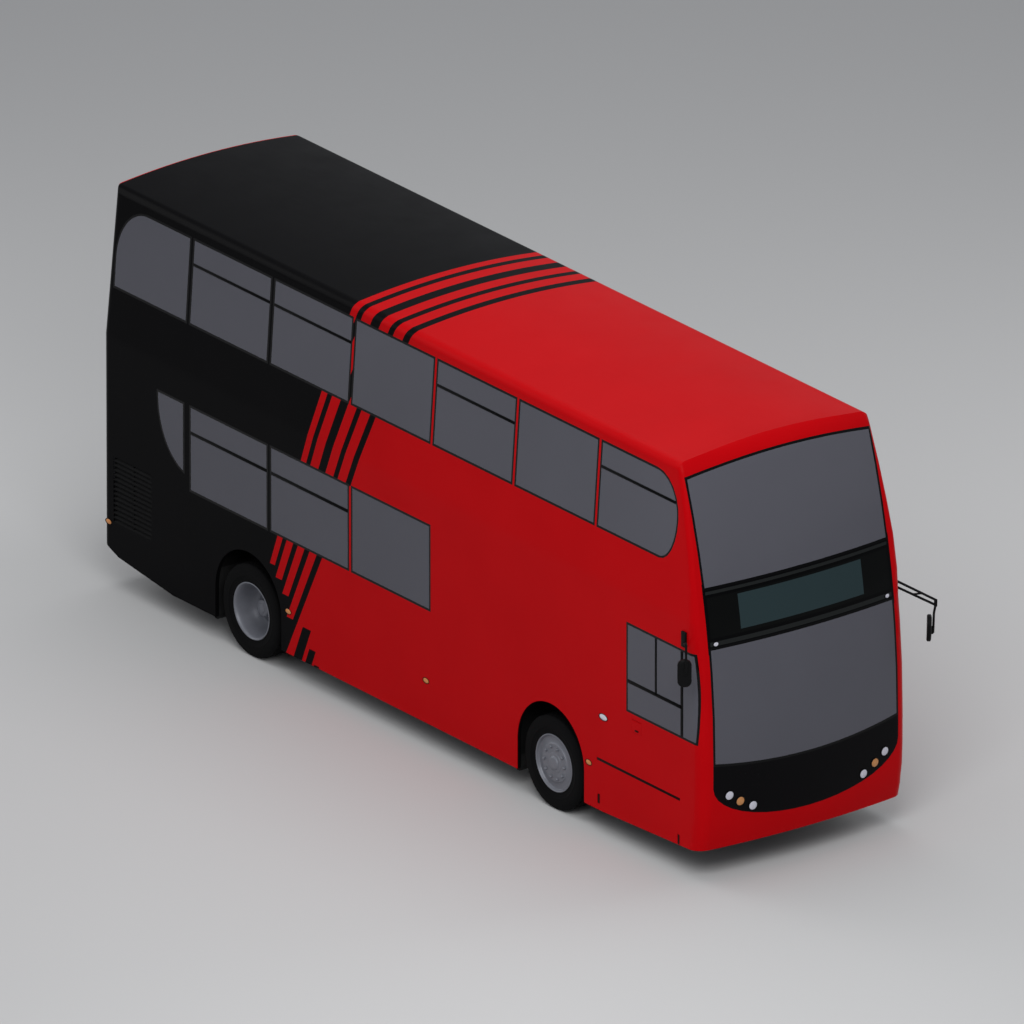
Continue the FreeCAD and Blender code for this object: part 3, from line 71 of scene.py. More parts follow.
# Bars of the driver's sliding window: stations of their ends, then their heights
CAB_BARS = ((CAB_PANE_START, 2.146, 1.770, 1.808), (1.706, 1.738, 1.789, CAB_HEAD),
            (2.126, 2.168, CAB_SILL, CAB_HEAD))

# Two-colour paint: stations of the stripe edges, alternately red and black from the rear
STRIPE_EDGES_UPPER = (-3.823, -3.729, -3.653, -3.511, -3.383, -3.244, -3.166, -3.023, -2.931)
STRIPE_EDGES_LOWER = (-4.519, -4.434, -4.368, -4.259, -4.182, -4.071, -3.987, -3.870, -3.777)
STRIPE_LEVEL_UPPER = 3.24   # the heights at which those stations hold
STRIPE_LEVEL_LOWER = 1.47
STRIPE_SPLIT = 2.39         # the lower set is used below this height
STRIPE_TOP = 4.285          # from here up the stripes run straight across the roof
# How far a stripe leans ahead for each metre of height, and the share by which it widens
SLANT_TOP = (0.785, 0.098)
SLANT_MIDDLE = (0.686, 0.084)
SLANT_LOWER = (1.088, 0.156)
STRIPE_FEET = (1.136, 1.014, 0.875, 0.650)      # the lower stripes are cut off level at these heights
SKIRT_STRIPES = ((-4.175, -4.038, 0.626), (-3.982, -3.875, 0.425), (-3.841, -3.757, 0.280))
SKIRT_LEVEL = 0.45
SKIRT_SLANT = 0.42
ROOF_LINE = (-7.376, 4.262)     # the red line behind the roof lies behind this station, above this height

# Front and lamps
SCREEN_HALF = 1.120
NOSE_START = 2.250          # the side walls turn into the front here
LAMP_SPOTS = ((0.962, 0.897), (0.834, 0.810), (0.685, 0.731))
REAR_LAMP_HEIGHTS = (0.700, 0.840, 0.980)
MARKER_STATIONS = (0.623, -2.057, -4.344, -7.350)

# Wheels
TWIN_PITCH = 0.320
NUT_CIRCLE = 0.1675
NUTS = 10
POLE = 0.0005               # radius at which a round form starts, before it is closed to a point
ALONG_X = (0.0, math.pi / 2.0, 0.0)
TUBE_RADIUS = 0.0125        # tubes of the mirrors

# Seats: a seat stands at its station, which is 60 mm behind the foot of its pedestal
SEAT_X = 0.740
SEAT_PITCH = 0.750
UPPER_DECK = 2.530
LOWER_DECK = 0.380
DRIVER_X = -0.800
WELL = (-0.680, 1.000)      # stations of the stairwell
PAIR = (-0.2075, 0.2075)    # the sitting places of a double seat
PAIR_WIDTH = 0.840
CUSHION_TILT = (math.radians(-2.0), 0.0, 0.0)
BACK_TILT = (math.radians(-8.5), 0.0, 0.0)
BACK_PAD_TILT = (math.radians(79.5), 0.0, 0.0)

FACING = 0.9                # a face looks along an axis when its normal has more of it than this
CELL = 0.100                # pitch of the cuts through large painted faces, and the axes they cross
CELLS = {"roof_panel": (1,), "offside_wall": (1, 2), "nearside_wall": (1, 2)}


def at(x, station, z):
    return Vector((x, FRONT_AXLE_Y - station, z))


def deselect():
    if bpy.context.mode != "OBJECT":
        bpy.ops.object.mode_set(mode="OBJECT")
    bpy.ops.object.select_all(action="DESELECT")


def take(piece):
    """Leave edit mode and make one piece the only selected and active object."""
    deselect()
    piece.select_set(True)
    bpy.context.view_layer.objects.active = piece
    return piece


def opened(piece):
    """Open a piece in edit mode with everything selected."""
    take(piece)
    bpy.ops.object.mode_set(mode="EDIT")
    bpy.ops.mesh.select_mode(type="VERT")
    bpy.ops.mesh.select_all(action="SELECT")


def node_of(operation):
    """A method of Value that adds a Math node with this operation."""
    return lambda self, *others: self.math(operation, *others)


class Value:
    """A socket in a material's nodes. Arithmetic on it adds Math nodes."""

    __add__ = __radd__ = node_of("ADD")
    __sub__ = node_of("SUBTRACT")
    __mul__ = __rmul__ = node_of("MULTIPLY")
    __truediv__ = node_of("DIVIDE")
    __gt__ = node_of("GREATER_THAN")
    __lt__ = node_of("LESS_THAN")
    size = node_of("ABSOLUTE")

    def __init__(self, finish, socket):
        self.finish = finish
        self.socket = socket

    def math(self, operation, *others):
        return self.finish.node("ShaderNodeMath", {"operation": operation}, (self, *others))

    def __rsub__(self, other):
        return self * -1.0 + other

    def above_zero(self):
        return self.math("MAXIMUM", 0.0)

    def between(self, low, high):
        return (self > low) * (self < high)

    def pick(self, one, other):
        """One value where this is 1, and another where it is 0."""
        return self * one + (1.0 - self) * other


class Finish:
    """A material: its Principled shader and the nodes that feed it."""

    def __init__(self, name, colour, roughness, sheen=0.5, metallic=0.0):
        self.material = bpy.data.materials.new(name)
        self.material.use_nodes = True
        self.tree = self.material.node_tree
        self.shader = self.tree.nodes["Principled BSDF"]
        self.feed({"Base Color": colour, "Roughness": roughness, "Metallic": metallic,
                   "Specular IOR Level": sheen})

    def connect(self, socket, value):
        if isinstance(value, Value):
            self.tree.links.new(value.socket, socket)
        else:
            socket.default_value = value

    def feed(self, sockets):
        """Give the shader's named sockets a number, a colour or a value to follow."""
        for name, value in sockets.items():
            self.connect(self.shader.inputs[name], value)

    def node(self, kind, settings, sockets, outputs=(0,)):
        """Add one node: its settings first, then its sockets by name or in order."""
        made = self.tree.nodes.new(kind)
        for name, value in settings.items():
            setattr(made, name, value)
        named = sockets.items() if isinstance(sockets, dict) else enumerate(sockets)
        for key, value in named:
            self.connect(made.inputs[key], value)
        values = [Value(self, made.outputs[key]) for key in outputs]
        return values[0] if len(values) == 1 else values

    def coordinates(self):
        return self.node("ShaderNodeTexCoord", {}, {}, ("Object",))

    def place(self):
        """X, station and height of a point."""
        x, y, z = self.node("ShaderNodeSeparateXYZ", {}, (self.coordinates(),), ("X", "Y", "Z"))
        return x, FRONT_AXLE_Y - y, z

    def noise(self, scale, detail=3.0, stretch=(1.0, 1.0, 1.0)):
        """Cloudy values about 0.5, in lumps of 1 / scale metres."""
        multiply = {"operation": "MULTIPLY"}
        spot = self.node("ShaderNodeVectorMath", multiply, (self.coordinates(), stretch))
        return self.node("ShaderNodeTexNoise", {}, {"Vector": spot, "Scale": scale, "Detail": detail})

    def blend(self, share, first, second):
        """Mix two colours."""
        return self.node("ShaderNodeMix", {"data_type": "RGBA"}, {0: share, 6: first, 7: second}, (2,))

    def bump(self, height, distance, strength=1.0):
        sockets = {"Height": height, "Distance": distance, "Strength": strength}
        self.feed({"Normal": self.node("ShaderNodeBump", {}, sockets, ("Normal",))})


def rgb(*parts):
    """A colour written in display values from 0 to 255, as linear numbers and an alpha of 1."""
    levels = [part / 255.0 for part in parts]
    return (*(v / 12.92 if v <= 0.04045 else ((v + 0.055) / 1.055) ** 2.4 for v in levels), 1.0)


def tone(colour, factor):
    """A colour made lighter or darker."""
    return (*(min(1.0, part * factor) for part in colour[:3]), 1.0)


RED = rgb(178, 12, 18)
PAINT_SHEEN = 0.03


def stripes_at(station, edges, z=None):
    """1 in the red of a run of stripe edges that starts black at the rear; given a height, cut off below."""
    red = station > edges[-1]
    for index, (rear, front) in enumerate(zip(edges[:-1:2], edges[1::2])):
        stripe = station.between(rear, front)
        if z is not None:
            stripe = stripe * (z > STRIPE_FEET[index])
        red = stripe + red
    return red


def livery(x, station, z):
    """1 where the coachwork is red: slanting stripes on the sides, straight ones across the roof."""
    rise = z.math("MINIMUM", STRIPE_TOP) - STRIPE_LEVEL_UPPER
    low_rise = z - STRIPE_LEVEL_LOWER
    shift, spread = [(rise > 0.0).pick(high, low) for high, low in zip(SLANT_TOP, SLANT_MIDDLE)]
    upper = (station - rise * shift) / (rise * spread + 1.0)
    lower = (station - low_rise * SLANT_LOWER[0]) / (low_rise * SLANT_LOWER[1] + 1.0)
    low_set = stripes_at(lower, STRIPE_EDGES_LOWER, z)
    red = (z > STRIPE_SPLIT).pick(stripes_at(upper, STRIPE_EDGES_UPPER), low_set)
    # Three short black stripes in the red at the skirt
    lean = station - (z - SKIRT_LEVEL) * SKIRT_SLANT
    for rear, front, top in SKIRT_STRIPES:
        red = red * (1.0 - lean.between(rear, front) * (z < top))
    # Black between the two windscreens, and a red line along the rear edge of the roof
    dark_band = (station > 2.100) * (x.size() < 1.150) * z.between(2.400, 3.110)
    edge = (station < ROOF_LINE[0]) * (z > ROOF_LINE[1])
    return red * (1.0 - dark_band) + edge


def coachwork(name, lined):
    """Two-colour paint. On the side walls everything but the outer skin is dark trim and underseal."""
    finish = Finish(name, RED, 0.30, sheen=PAINT_SHEEN)
    x, station, z = finish.place()
    red = livery(x, station, z)
    clouds = finish.noise(1.3, 4.0)
    warm = finish.blend(clouds, rgb(176, 2, 9), rgb(188, 7, 14))
    dark = finish.blend(clouds, rgb(5, 5, 6), rgb(9, 8, 10))
    colour = finish.blend(red, dark, warm)
    sheen = finish.noise(3.0, 5.0) * 0.16 + 0.24
    if lined:
        skin, nose_skin = 0.006, 0.034
        depth = HALF_WIDTH - (z - WAIST).above_zero() * math.tan(LEAN) - x.size()
        inside = depth > (station > NOSE_START) * nose_skin + skin
        trim = finish.blend(z > 1.200, rgb(6, 6, 7), rgb(66, 67, 71))
        colour = finish.blend(inside, colour, trim)
        sheen = sheen + inside * 0.4
    finish.feed({"Base Color": colour, "Roughness": sheen})
    # Body panels below the windows meet at fine upright seams, and the skin has a very fine grain
    seam = ((station - 0.674).math("WRAP", POST_PITCH, 0.0) < 0.004) * (z < 1.420)
    finish.bump(finish.noise(220.0, 2.0) - seam * 3.0, 0.0004, 0.25)
    return finish.material


def glass(name, border):
    """Tinted glass, see-through inside the black border that a function draws on the finish."""
    tint = rgb(92, 92, 100)
    finish = Finish(name, tint, 0.07, sheen=0.14)
    edge = border(finish)
    haze = finish.noise(0.8, 3.0)
    pane = finish.blend(haze, tone(tint, 0.92), tone(tint, 1.06))
    finish.feed({"Base Color": finish.blend(edge, pane, rgb(4, 4, 5)), "Alpha": edge * 0.16 + 0.84,
                 "Roughness": haze * 0.05 + 0.05})
    return finish.material


def in_ellipse(across, up):
    """1 inside an ellipse, whose half axes the distances from its middle are measured in."""
    return across * across + up * up < 1.0


def side_border(finish):
    """The border of the side panes, which stand between posts at an even pitch."""
    _, station, z = finish.place()
    is_upper = z > DECK_SPLIT
    post = is_upper.pick(UPPER_POST, LOWER_POST)
    along = (station - post).math("WRAP", POST_PITCH / 2.0, -POST_PITCH / 2.0)
    at_post = along.size() < POST_HALF
    # Upper row, with an elliptical rear corner and a front end swept by two ellipses
    in_rear = in_ellipse((-6.800 - station).above_zero() / 0.487, (z - 3.550).above_zero() / 0.575)
    front_end, front_level = 1.970, 3.710
    bend = (z > front_level).pick(0.355, 0.255)
    tall = (z > front_level).pick(0.415, 0.450)
    in_front = in_ellipse((station - front_end + bend).above_zero() / bend, (z - front_level) / tall)
    upper_open = (1.0 - at_post) * in_rear * in_front
    # Lower row: the fin, the full panes, and the driver's window with its bowed front edge
    in_fin = in_ellipse((-5.960 - station).above_zero() / 0.550, (2.340 - z).above_zero() / 0.700)
    fin_post = (station - FIN_POST).size() < FIN_POST_HALF
    up = z - 1.950
    cab_front = 2.385 - up * 0.0500 - up * up * 0.1758
    in_cab = station.between(CAB_PANE_START, cab_front) * z.between(CAB_SILL, CAB_HEAD)
    in_row = z.between(LOWER_SILL, LOWER_HEAD) * (1.0 - at_post) * (1.0 - fin_post)
    row_open = in_row * (station > FIN_POST).pick(1.0, in_fin)
    lower_open = (station > 1.0).pick(in_cab, row_open)
    return 1.0 - is_upper.pick(upper_open, lower_open)


def front_border(finish):
    """The border of both windscreens: the upper one is crowned and the lower one dips."""
    x, _, z = finish.place()
    across = x / SCREEN_HALF
    bow = 1.0 - across * across
    in_upper = z.between(3.070, bow * 0.087 + 4.128)
    in_lower = z.between(1.260 - bow * 0.090, 2.440)
    return 1.0 - (in_upper + in_lower) * (across.size() < 1.0)


def rear_border(finish):
    x, _, z = finish.place()
    return 1.0 - (x.size() < 0.960) * z.between(3.300, 4.060)


def no_border(finish):
    return finish.place()[2] < 0.0


def display_glass():
    """Black glass with the dark display window, and a grey strip between black lines at each long edge."""
    finish = Finish("display_glass", rgb(8, 9, 9), 0.10, sheen=0.1)
    x, _, z = finish.place()
    window = (x.size() < 0.760) * z.between(2.594, 2.946)
    strips = (z.between(2.477, 2.521) + z.between(2.998, 3.029)) * (x.size() < SCREEN_HALF)
    lines = (z < 2.557) + (z > 2.967) + (x.size() > 1.110)
    colour = finish.blend(window, rgb(8, 9, 9), rgb(41, 55, 58))
    colour = finish.blend(lines > 0.5, colour, rgb(3, 3, 4))
    colour = finish.blend(strips, colour, rgb(31, 33, 33))
    finish.feed({"Base Color": colour, "Roughness": finish.noise(2.0) * 0.10 + 0.08})
    return finish.material


def plain(name, colour, roughness, scale, grain, variation=0.12, sheen=0.5, metallic=0.0):
    """A moulded, cast or painted surface with mottled colour, uneven sheen and a fine grain."""
    finish = Finish(name, colour, roughness, sheen, metallic)
    clouds = finish.noise(scale / 12.0, 4.0)
    mottled = finish.blend(clouds, tone(colour, 1.0 - variation), tone(colour, 1.0 + variation))
    uneven = finish.noise(scale / 4.0) * 0.2 + (roughness - 0.1)
    finish.feed({"Base Color": mottled, "Roughness": uneven})
    finish.bump(finish.noise(scale, 2.0), grain)
    return finish.material


def lens_finish(name, colour, ribs):
    """A ribbed plastic lens: fine upright ribs over a bright reflector."""
    finish = Finish(name, colour, 0.16, sheen=0.5)
    x, station, z = finish.place()
    finish.bump(((x + station) * ribs).math("SINE"), 0.0006, 0.5)
    finish.feed({"Roughness": finish.noise(60.0) * 0.10 + 0.12})
    return finish, x, z


def front_lens():
    """Clear lamps, the middle one of each three amber, with painted shade in a ring round the rim of each lens;
    the high markers are clear.
    """
    finish, x, z = lens_finish("front_lens", rgb(200, 198, 208), 900.0)
    # Painted shade: the rim mask darkens a ring round the edge of each lens towards dark grey.
    rim = z < 0.0
    for lamp_x, lamp_z in LAMP_SPOTS:
        across, up = x.size() - lamp_x, z - lamp_z
        rim = rim + (across * across + up * up).math("SQRT").between(0.043, 0.060)
    amber = x.size().between(0.780, 0.888) * (z < 1.000)
    glow = finish.noise(40.0, 2.0)
    clear = finish.blend(glow, rgb(182, 181, 192), rgb(212, 211, 222))
    orange = finish.blend(glow, rgb(176, 118, 66), rgb(204, 142, 84))
    colour = finish.blend(amber, clear, orange)
    finish.feed({"Base Color": finish.blend(rim * 0.55, colour, rgb(60, 60, 66))})
    return finish.material


def side_lens():
    """Amber markers, and the clear oval lamp ahead of the front wheel."""
    finish, _, z = lens_finish("side_lens", rgb(206, 132, 66), 700.0)
    glow = finish.noise(30.0, 2.0)
    orange = finish.blend(glow, rgb(190, 116, 52), rgb(216, 146, 80))
    clear = finish.blend(glow, rgb(196, 196, 206), rgb(222, 222, 230))
    finish.feed({"Base Color": finish.blend(z > 1.200, orange, clear)})
    return finish.material


def rear_lens():
    """From the bottom up: clear reversing lamp, amber indicator, red lamp, and the high red lamp."""
    finish, _, z = lens_finish("rear_lens", rgb(150, 14, 16), 900.0)
    glow = finish.noise(40.0, 2.0)
    red = finish.blend(glow, rgb(132, 8, 10), rgb(164, 16, 18))
    clear_top, amber_top = 0.770, 0.910
    amber = finish.blend(z.between(clear_top, amber_top), red, rgb(206, 124, 48))
    finish.feed({"Base Color": finish.blend(z < clear_top, amber, rgb(206, 206, 214))})
    return finish.material


def flooring():
    """Speckled safety flooring, black underseal below it, inside the wheel boxes and in the engine bay."""
    finish = Finish("safety_flooring", rgb(74, 78, 86), 0.75, sheen=0.3)
    x, station, z = finish.place()
    under = z < 0.352
    for floor_end, underside in ((-4.249, 0.732), (-6.158, 1.442)):
        under = under + (station < floor_end) * (z < underside)
    box_half_length, box_height = 0.6265, 1.1465
    for axle, box_side in ((0.0, 0.423), (REAR_STATION, 0.613)):
        in_box = ((station - axle).size() < box_half_length) * (x.size() > box_side)
        under = under + in_box * (z < box_height)
    specks = finish.noise(420.0, 1.0) > 0.62
    clouds = finish.noise(2.0, 4.0)
    base = finish.blend(clouds, rgb(66, 70, 78), rgb(80, 84, 92))
    tread = finish.blend(specks, base, rgb(128, 132, 140))
    colour = finish.blend(under > 0.5, tread, rgb(5, 5, 6))
    finish.feed({"Base Color": colour, "Roughness": finish.noise(8.0) * 0.2 + 0.65})
    finish.bump(finish.noise(420.0, 1.0), 0.0006, 0.6)
    return finish.material


PAINT = coachwork("coachwork_paint", False)
SIDE_PAINT = coachwork("side_coachwork_paint", True)
SIDE_GLASS = glass("side_glass", side_border)
FRONT_GLASS = glass("front_glass", front_border)
REAR_GLASS = glass("rear_glass", rear_border)
DOOR_GLASS = glass("door_glass", no_border)
DISPLAY = display_glass()
GLOSS_BLACK = plain("gloss_black_moulding", rgb(7, 6, 8), 0.22, 200.0, 0.0001, sheen=0.06)
MIRROR_BLACK = plain("grained_black_plastic", rgb(9, 9, 10), 0.55, 600.0, 0.0005, sheen=0.10)
BAR_BLACK = plain("window_bar_coating", rgb(6, 6, 7), 0.45, 400.0, 0.0003, sheen=0.05)
TYRE = plain("tyre_rubber", rgb(7, 7, 8), 0.85, 300.0, 0.0008, sheen=0.10)
RIM = plain("wheel_paint", rgb(116, 118, 126), 0.45, 120.0, 0.0004, metallic=0.3)
CHASSIS = plain("underbody_coating", rgb(30, 30, 32), 0.65, 150.0, 0.0010)
CASTING = plain("cast_iron", rgb(48, 47, 46), 0.70, 250.0, 0.0015, metallic=0.5)
SEAT = plain("moquette", rgb(120, 24, 32), 0.90, 700.0, 0.0012)
RAIL = plain("rail_powder_coat", rgb(214, 160, 30), 0.40, 300.0, 0.0003)
CAB = plain("cab_moulding", rgb(58, 59, 62), 0.60, 500.0, 0.0006)
GRILLE = plain("grille_paint", rgb(3, 3, 4), 0.50, 200.0, 0.0004, sheen=0.05)
RUBBER = plain("door_rubber", rgb(14, 14, 15), 0.80, 400.0, 0.0006)
MIRROR = plain("mirror_silvering", rgb(206, 208, 212), 0.06, 20.0, 0.00002, variation=0.03, metallic=1.0)
FRONT_LAMP = front_lens()
SIDE_LAMP = side_lens()
REAR_LAMP = rear_lens()
DECK = flooring()

BY_SLOT = {
    "coachwork": PAINT, "coachwork_black": PAINT, "lamp_panel": GLOSS_BLACK, "glass": SIDE_GLASS,
    "display_glass": DISPLAY, "lamp_clear": FRONT_LAMP, "lamp_amber": SIDE_LAMP, "lamp_red": REAR_LAMP,
    "tyre": TYRE, "rim": RIM, "chassis": CHASSIS, "running_gear": CASTING, "floor": DECK, "seat": SEAT,
    "rail": RAIL, "cab_plastic": CAB, "mirror_housing": MIRROR_BLACK, "grille": GRILLE, "engine": CASTING,
}
BY_NODE = {
    "upper_windscreen": FRONT_GLASS, "lower_windscreen": FRONT_GLASS, "rear_window": REAR_GLASS,
    "door_front_glass": DOOR_GLASS, "door_rear_glass": DOOR_GLASS,
    "offside_wall": SIDE_PAINT, "nearside_wall": SIDE_PAINT,
}


def dress(piece, material):
    piece.data.materials.clear()
    piece.data.materials.append(material)


SLOTS = {part["node"]: part["material_slot"] for part in RECORD["subparts"]}
BODIES = {node: name for name, nodes in RECORD["behaviour"]["bodies"].items() for node in nodes}
for node, obj in NODES.items():
    dress(obj, BY_NODE.get(node) or BY_SLOT[SLOTS[node]])


def cut_in_cells(piece, axes):
    """Cut a piece's faces at even steps: on long thin faces seen from afar a pattern comes out ragged."""
    take(piece)
    low, high = piece.bound_box[0], piece.bound_box[6]
    opened(piece)
    for axis in axes:
        plane = Vector([float(index == axis) for index in range(3)])
        for step in range(1, math.ceil((high[axis] - low[axis]) / CELL)):
            bpy.ops.mesh.bisect(plane_co=plane * (low[axis] + step * CELL), plane_no=plane)
            bpy.ops.mesh.select_all(action="SELECT")


def shown(piece, body, angle, replaced):
    """Shade a merged piece smooth where its faces meet at less than the angle, and fix it to its body."""
    take(piece)
    bpy.ops.object.shade_smooth_by_angle(angle=math.radians(angle))
    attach(piece, body)
    if replaced:
        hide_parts(*replaced)


def smoothed(node):
    """A merged copy of a CAD node with its rounded places shaded smooth."""
    piece = bpy.data.objects.new(node + "_finished", NODES[node].data.copy())
    bpy.context.scene.collection.objects.link(piece)
    take(piece)
    bpy.ops.mesh.customdata_custom_splitnormals_clear()
    opened(piece)
    bpy.ops.mesh.remove_doubles(threshold=0.00002)
    if node in CELLS:
        cut_in_cells(piece, CELLS[node])
    shown(piece, BODIES[node], 22.0, (node,))


SMOOTH_NODES = (
    "offside_wall", "nearside_wall", "roof_panel", "front_upper_panel", "front_lower_panel", "front_mask",
    "rear_panel", "engine_cover", "upper_windscreen", "lower_windscreen", "destination_glass",
    "offside_glazing", "cab_window_glass", "nearside_glazing",
)
for node in SMOOTH_NODES:
    smoothed(node)


def begin(primitive, name, **settings):
    """Add a primitive with nothing else selected."""
    deselect()
    primitive(**settings)
    piece = bpy.context.object
    piece.name = name
    return piece


def choose(piece, kind, test):
    """Open a piece in edit mode with only the faces, edges or vertices selected that pass a test."""
    take(piece)
    bpy.ops.object.mode_set(mode="EDIT")
    bpy.ops.mesh.select_mode(type=kind)
    bpy.ops.mesh.select_all(action="DESELECT")
    bpy.ops.object.mode_set(mode="OBJECT")
    items = {"FACE": piece.data.polygons, "EDGE": piece.data.edges, "VERT": piece.data.vertices}[kind]
    for item in items:
        item.select = test(item)
    bpy.ops.object.mode_set(mode="EDIT")


def settled(piece):
    """Put a piece's place into its mesh."""
    take(piece)
    bpy.ops.object.transform_apply(location=True, rotation=True, scale=True)
    return piece


def joined(pieces, name):
    """Make several pieces one object."""
    whole = take(pieces[0])
    for piece in pieces[1:]:
        piece.select_set(True)
    if len(pieces) > 1:
        bpy.ops.object.join()
    whole.name = name
    return whole


def copied(piece, name, shift=(0.0, 0.0, 0.0), half_turn=False):
    """A copy with its own mesh, moved, or first turned half round the upright through the origin."""
    take(piece)
    bpy.ops.object.duplicate(linked=False)
    copy = bpy.context.object
    copy.name = name
    copy.location = shift
    copy.rotation_euler = (0.0, 0.0, math.pi if half_turn else 0.0)
    return settled(copy)


def finished(piece, material, body, angle=30.0, replaced=()):
    """Merge and close a piece, shade it, give it its finish and let it ride on its body."""
    dress(settled(piece), material)
    opened(piece)
    bpy.ops.mesh.remove_doubles(threshold=0.00005)
    bpy.ops.mesh.normals_make_consistent(inside=False)
    shown(piece, body, angle, replaced)


def block(name, middle, size, turn):
    """A block turned about its middle."""
    piece = begin(bpy.ops.mesh.primitive_cube_add, name, size=1.0, location=middle, rotation=turn)
    piece.scale = size
    bpy.ops.object.transform_apply(location=False, rotation=False, scale=True)
    return piece


def rounded_bar(name, middle, size, edge, turn=(0.0, 0.0, 0.0), segments=2):
    """A block with its edges rounded, turned about its middle."""
    piece = block(name, middle, size, turn)
    opened(piece)
    bpy.ops.mesh.bevel(offset=edge, segments=segments, affect="EDGES")
    return settled(piece)


def inset(*steps, each=False):
    """Inset the chosen faces, or each of them, by a thickness and then shift them by a depth, in steps."""
    for thickness, depth in steps:
        bpy.ops.mesh.inset(thickness=thickness, depth=depth, use_individual=each)


def cylinder(name, sides, radius, length, middle):
    """A cylinder along X."""
    piece = begin(bpy.ops.mesh.primitive_cylinder_add, name, vertices=sides, radius=radius, depth=length,
                  location=middle, rotation=ALONG_X)
    return settled(piece)


def push(distance):
    """Draw the chosen faces out along X."""
    bpy.ops.mesh.extrude_region_move(TRANSFORM_OT_translate={"value": (distance, 0.0, 0.0)})


# Wheels
def turned(name, centre, profile, steps, closed):
    """A round form about an axle along X: a circle drawn out through (offset, radius) points.

    The profile runs from pole to pole, or back to its start where it is closed."""
    offset, radius = profile[0]
    start = centre + Vector((offset, 0.0, 0.0))
    piece = begin(bpy.ops.mesh.primitive_circle_add, name, vertices=steps, radius=radius,
                  location=start, rotation=ALONG_X)
    opened(piece)
    after = profile[1:] + profile[:1] if closed else profile[1:]
    for (near, near_r), (far, far_r) in zip(profile, after):
        grow = far_r / near_r
        bpy.ops.mesh.extrude_edges_move(TRANSFORM_OT_translate={"value": (far - near, 0.0, 0.0)})
        bpy.ops.transform.resize(value=(1.0, grow, grow), center_override=centre)
    settled(piece)
    if not closed:
        for offset, radius in (profile[0], profile[-1]):
            pole = centre + Vector((offset, 0.0, 0.0))
            choose(piece, "VERT", lambda vertex: (vertex.co - pole).length < 1.5 * radius)
            bpy.ops.mesh.merge(type="CENTER")
    return take(piece)


def front_rim_line():
    """Cap, hub ring, proud disc, conical ring and lip, then back inside to the spindle's bore."""
    face = [(0.1385, POLE), (0.138, 0.045), (0.1362, 0.058), (0.131, 0.066), (0.124, 0.070),
            (0.1205, 0.074), (0.1205, 0.100), (0.1185, 0.105), (0.1155, 0.107), (0.115, 0.112),
            (0.115, 0.192), (0.114, 0.198), (0.111, 0.202), (0.1065, 0.204), (0.1035, 0.208),
            (0.0975, 0.225), (0.0935, 0.248), (0.0925, 0.266), (0.0945, 0.275)]
    lip = [(0.102, 0.281), (0.116, 0.284), (0.123, 0.287), (0.1262, 0.291), (0.1262, 0.295),
           (0.124, 0.2993), (0.1215, 0.300)]
    back = [(-0.1215, 0.300), (-0.124, 0.2993), (-0.1262, 0.295), (-0.1262, 0.290), (-0.118, 0.286),
            (-0.050, 0.282), (0.030, 0.276), (0.060, 0.262), (0.075, 0.230), (0.080, 0.190),
            (0.084, 0.110), (0.075, 0.100), (0.020, 0.095), (0.020, 0.0385), (0.079, 0.0385),
            (0.079, POLE)]
    return face + lip + back


def rear_rim_line():
    """Long hub, disc set far in, deep dish and lip, then the inner rim and the stub axle's bore."""
    face = [(0.002, POLE), (0.0015, 0.040), (-0.001, 0.047), (-0.006, 0.051), (-0.008, 0.076),
            (-0.014, 0.085), (-0.022, 0.090), (-0.090, 0.095), (-0.118, 0.098), (-0.124, 0.104),
            (-0.126, 0.110), (-0.126, 0.196), (-0.124, 0.205), (-0.115, 0.216), (-0.090, 0.235),
            (-0.050, 0.252), (0.000, 0.262), (0.060, 0.268), (0.095, 0.273), (0.112, 0.279)]
    lip = [(0.121, 0.285), (0.1262, 0.290), (0.1262, 0.295), (0.124, 0.2993), (0.1215, 0.300)]
    inner = -0.1215 - TWIN_PITCH
    back = [(inner, 0.300), (inner - 0.0025, 0.2993), (inner - 0.0047, 0.295), (inner - 0.0047, 0.290),
            (inner + 0.0035, 0.286), (-0.370, 0.280), (-0.250, 0.272), (-0.205, 0.252), (-0.192, 0.214),
            (-0.187, 0.110), (-0.200, 0.100), (-0.220, 0.095), (-0.220, 0.0505), (-0.1105, 0.0505),
            (-0.1105, POLE)]
    return face + lip + back


def tyre_line():
    """Four grooves round the tread, soft shoulders, bulging sidewalls with two ribs, and the beads."""
    side = [(0.022, 0.490), (0.024, 0.480), (0.032, 0.480), (0.034, 0.490), (0.066, 0.4895),
            (0.068, 0.480), (0.076, 0.480), (0.078, 0.4888), (0.104, 0.4868), (0.112, 0.4835),
            (0.119, 0.477), (0.1255, 0.467), (0.131, 0.454), (0.135, 0.435), (0.1368, 0.415),
            (0.137, 0.395), (0.1355, 0.376), (0.1364, 0.372), (0.1362, 0.365), (0.1342, 0.362),
            (0.132, 0.345), (0.129, 0.330), (0.1268, 0.3225), (0.1282, 0.3185), (0.1275, 0.312),
            (0.1255, 0.306), (0.1215, 0.300)]
    return side[::-1] + [(-offset, radius) for offset, radius in side]


def road_wheel_tyre(name, centre):
    """A tyre whose shoulders are cut across by a pocket at every third facet."""
    steps = 120
    tyre = turned(name, centre, tyre_line(), steps, closed=True)

    def in_pocket(face):
        spot = face.center - centre
        around = math.atan2(spot.z, spot.y) / (2.0 * math.pi) * steps
        on_shoulder = 0.080 < abs(spot.x) < 0.104 and math.hypot(spot.y, spot.z) > 0.480
        return on_shoulder and math.floor(around) % 3 == 0

    choose(tyre, "FACE", in_pocket)
    inset((0.003, 0.0), each=True)
    bpy.ops.mesh.extrude_region_move()
    bpy.ops.transform.resize(value=(1.0, 0.984, 0.984), center_override=centre)
    return take(tyre)


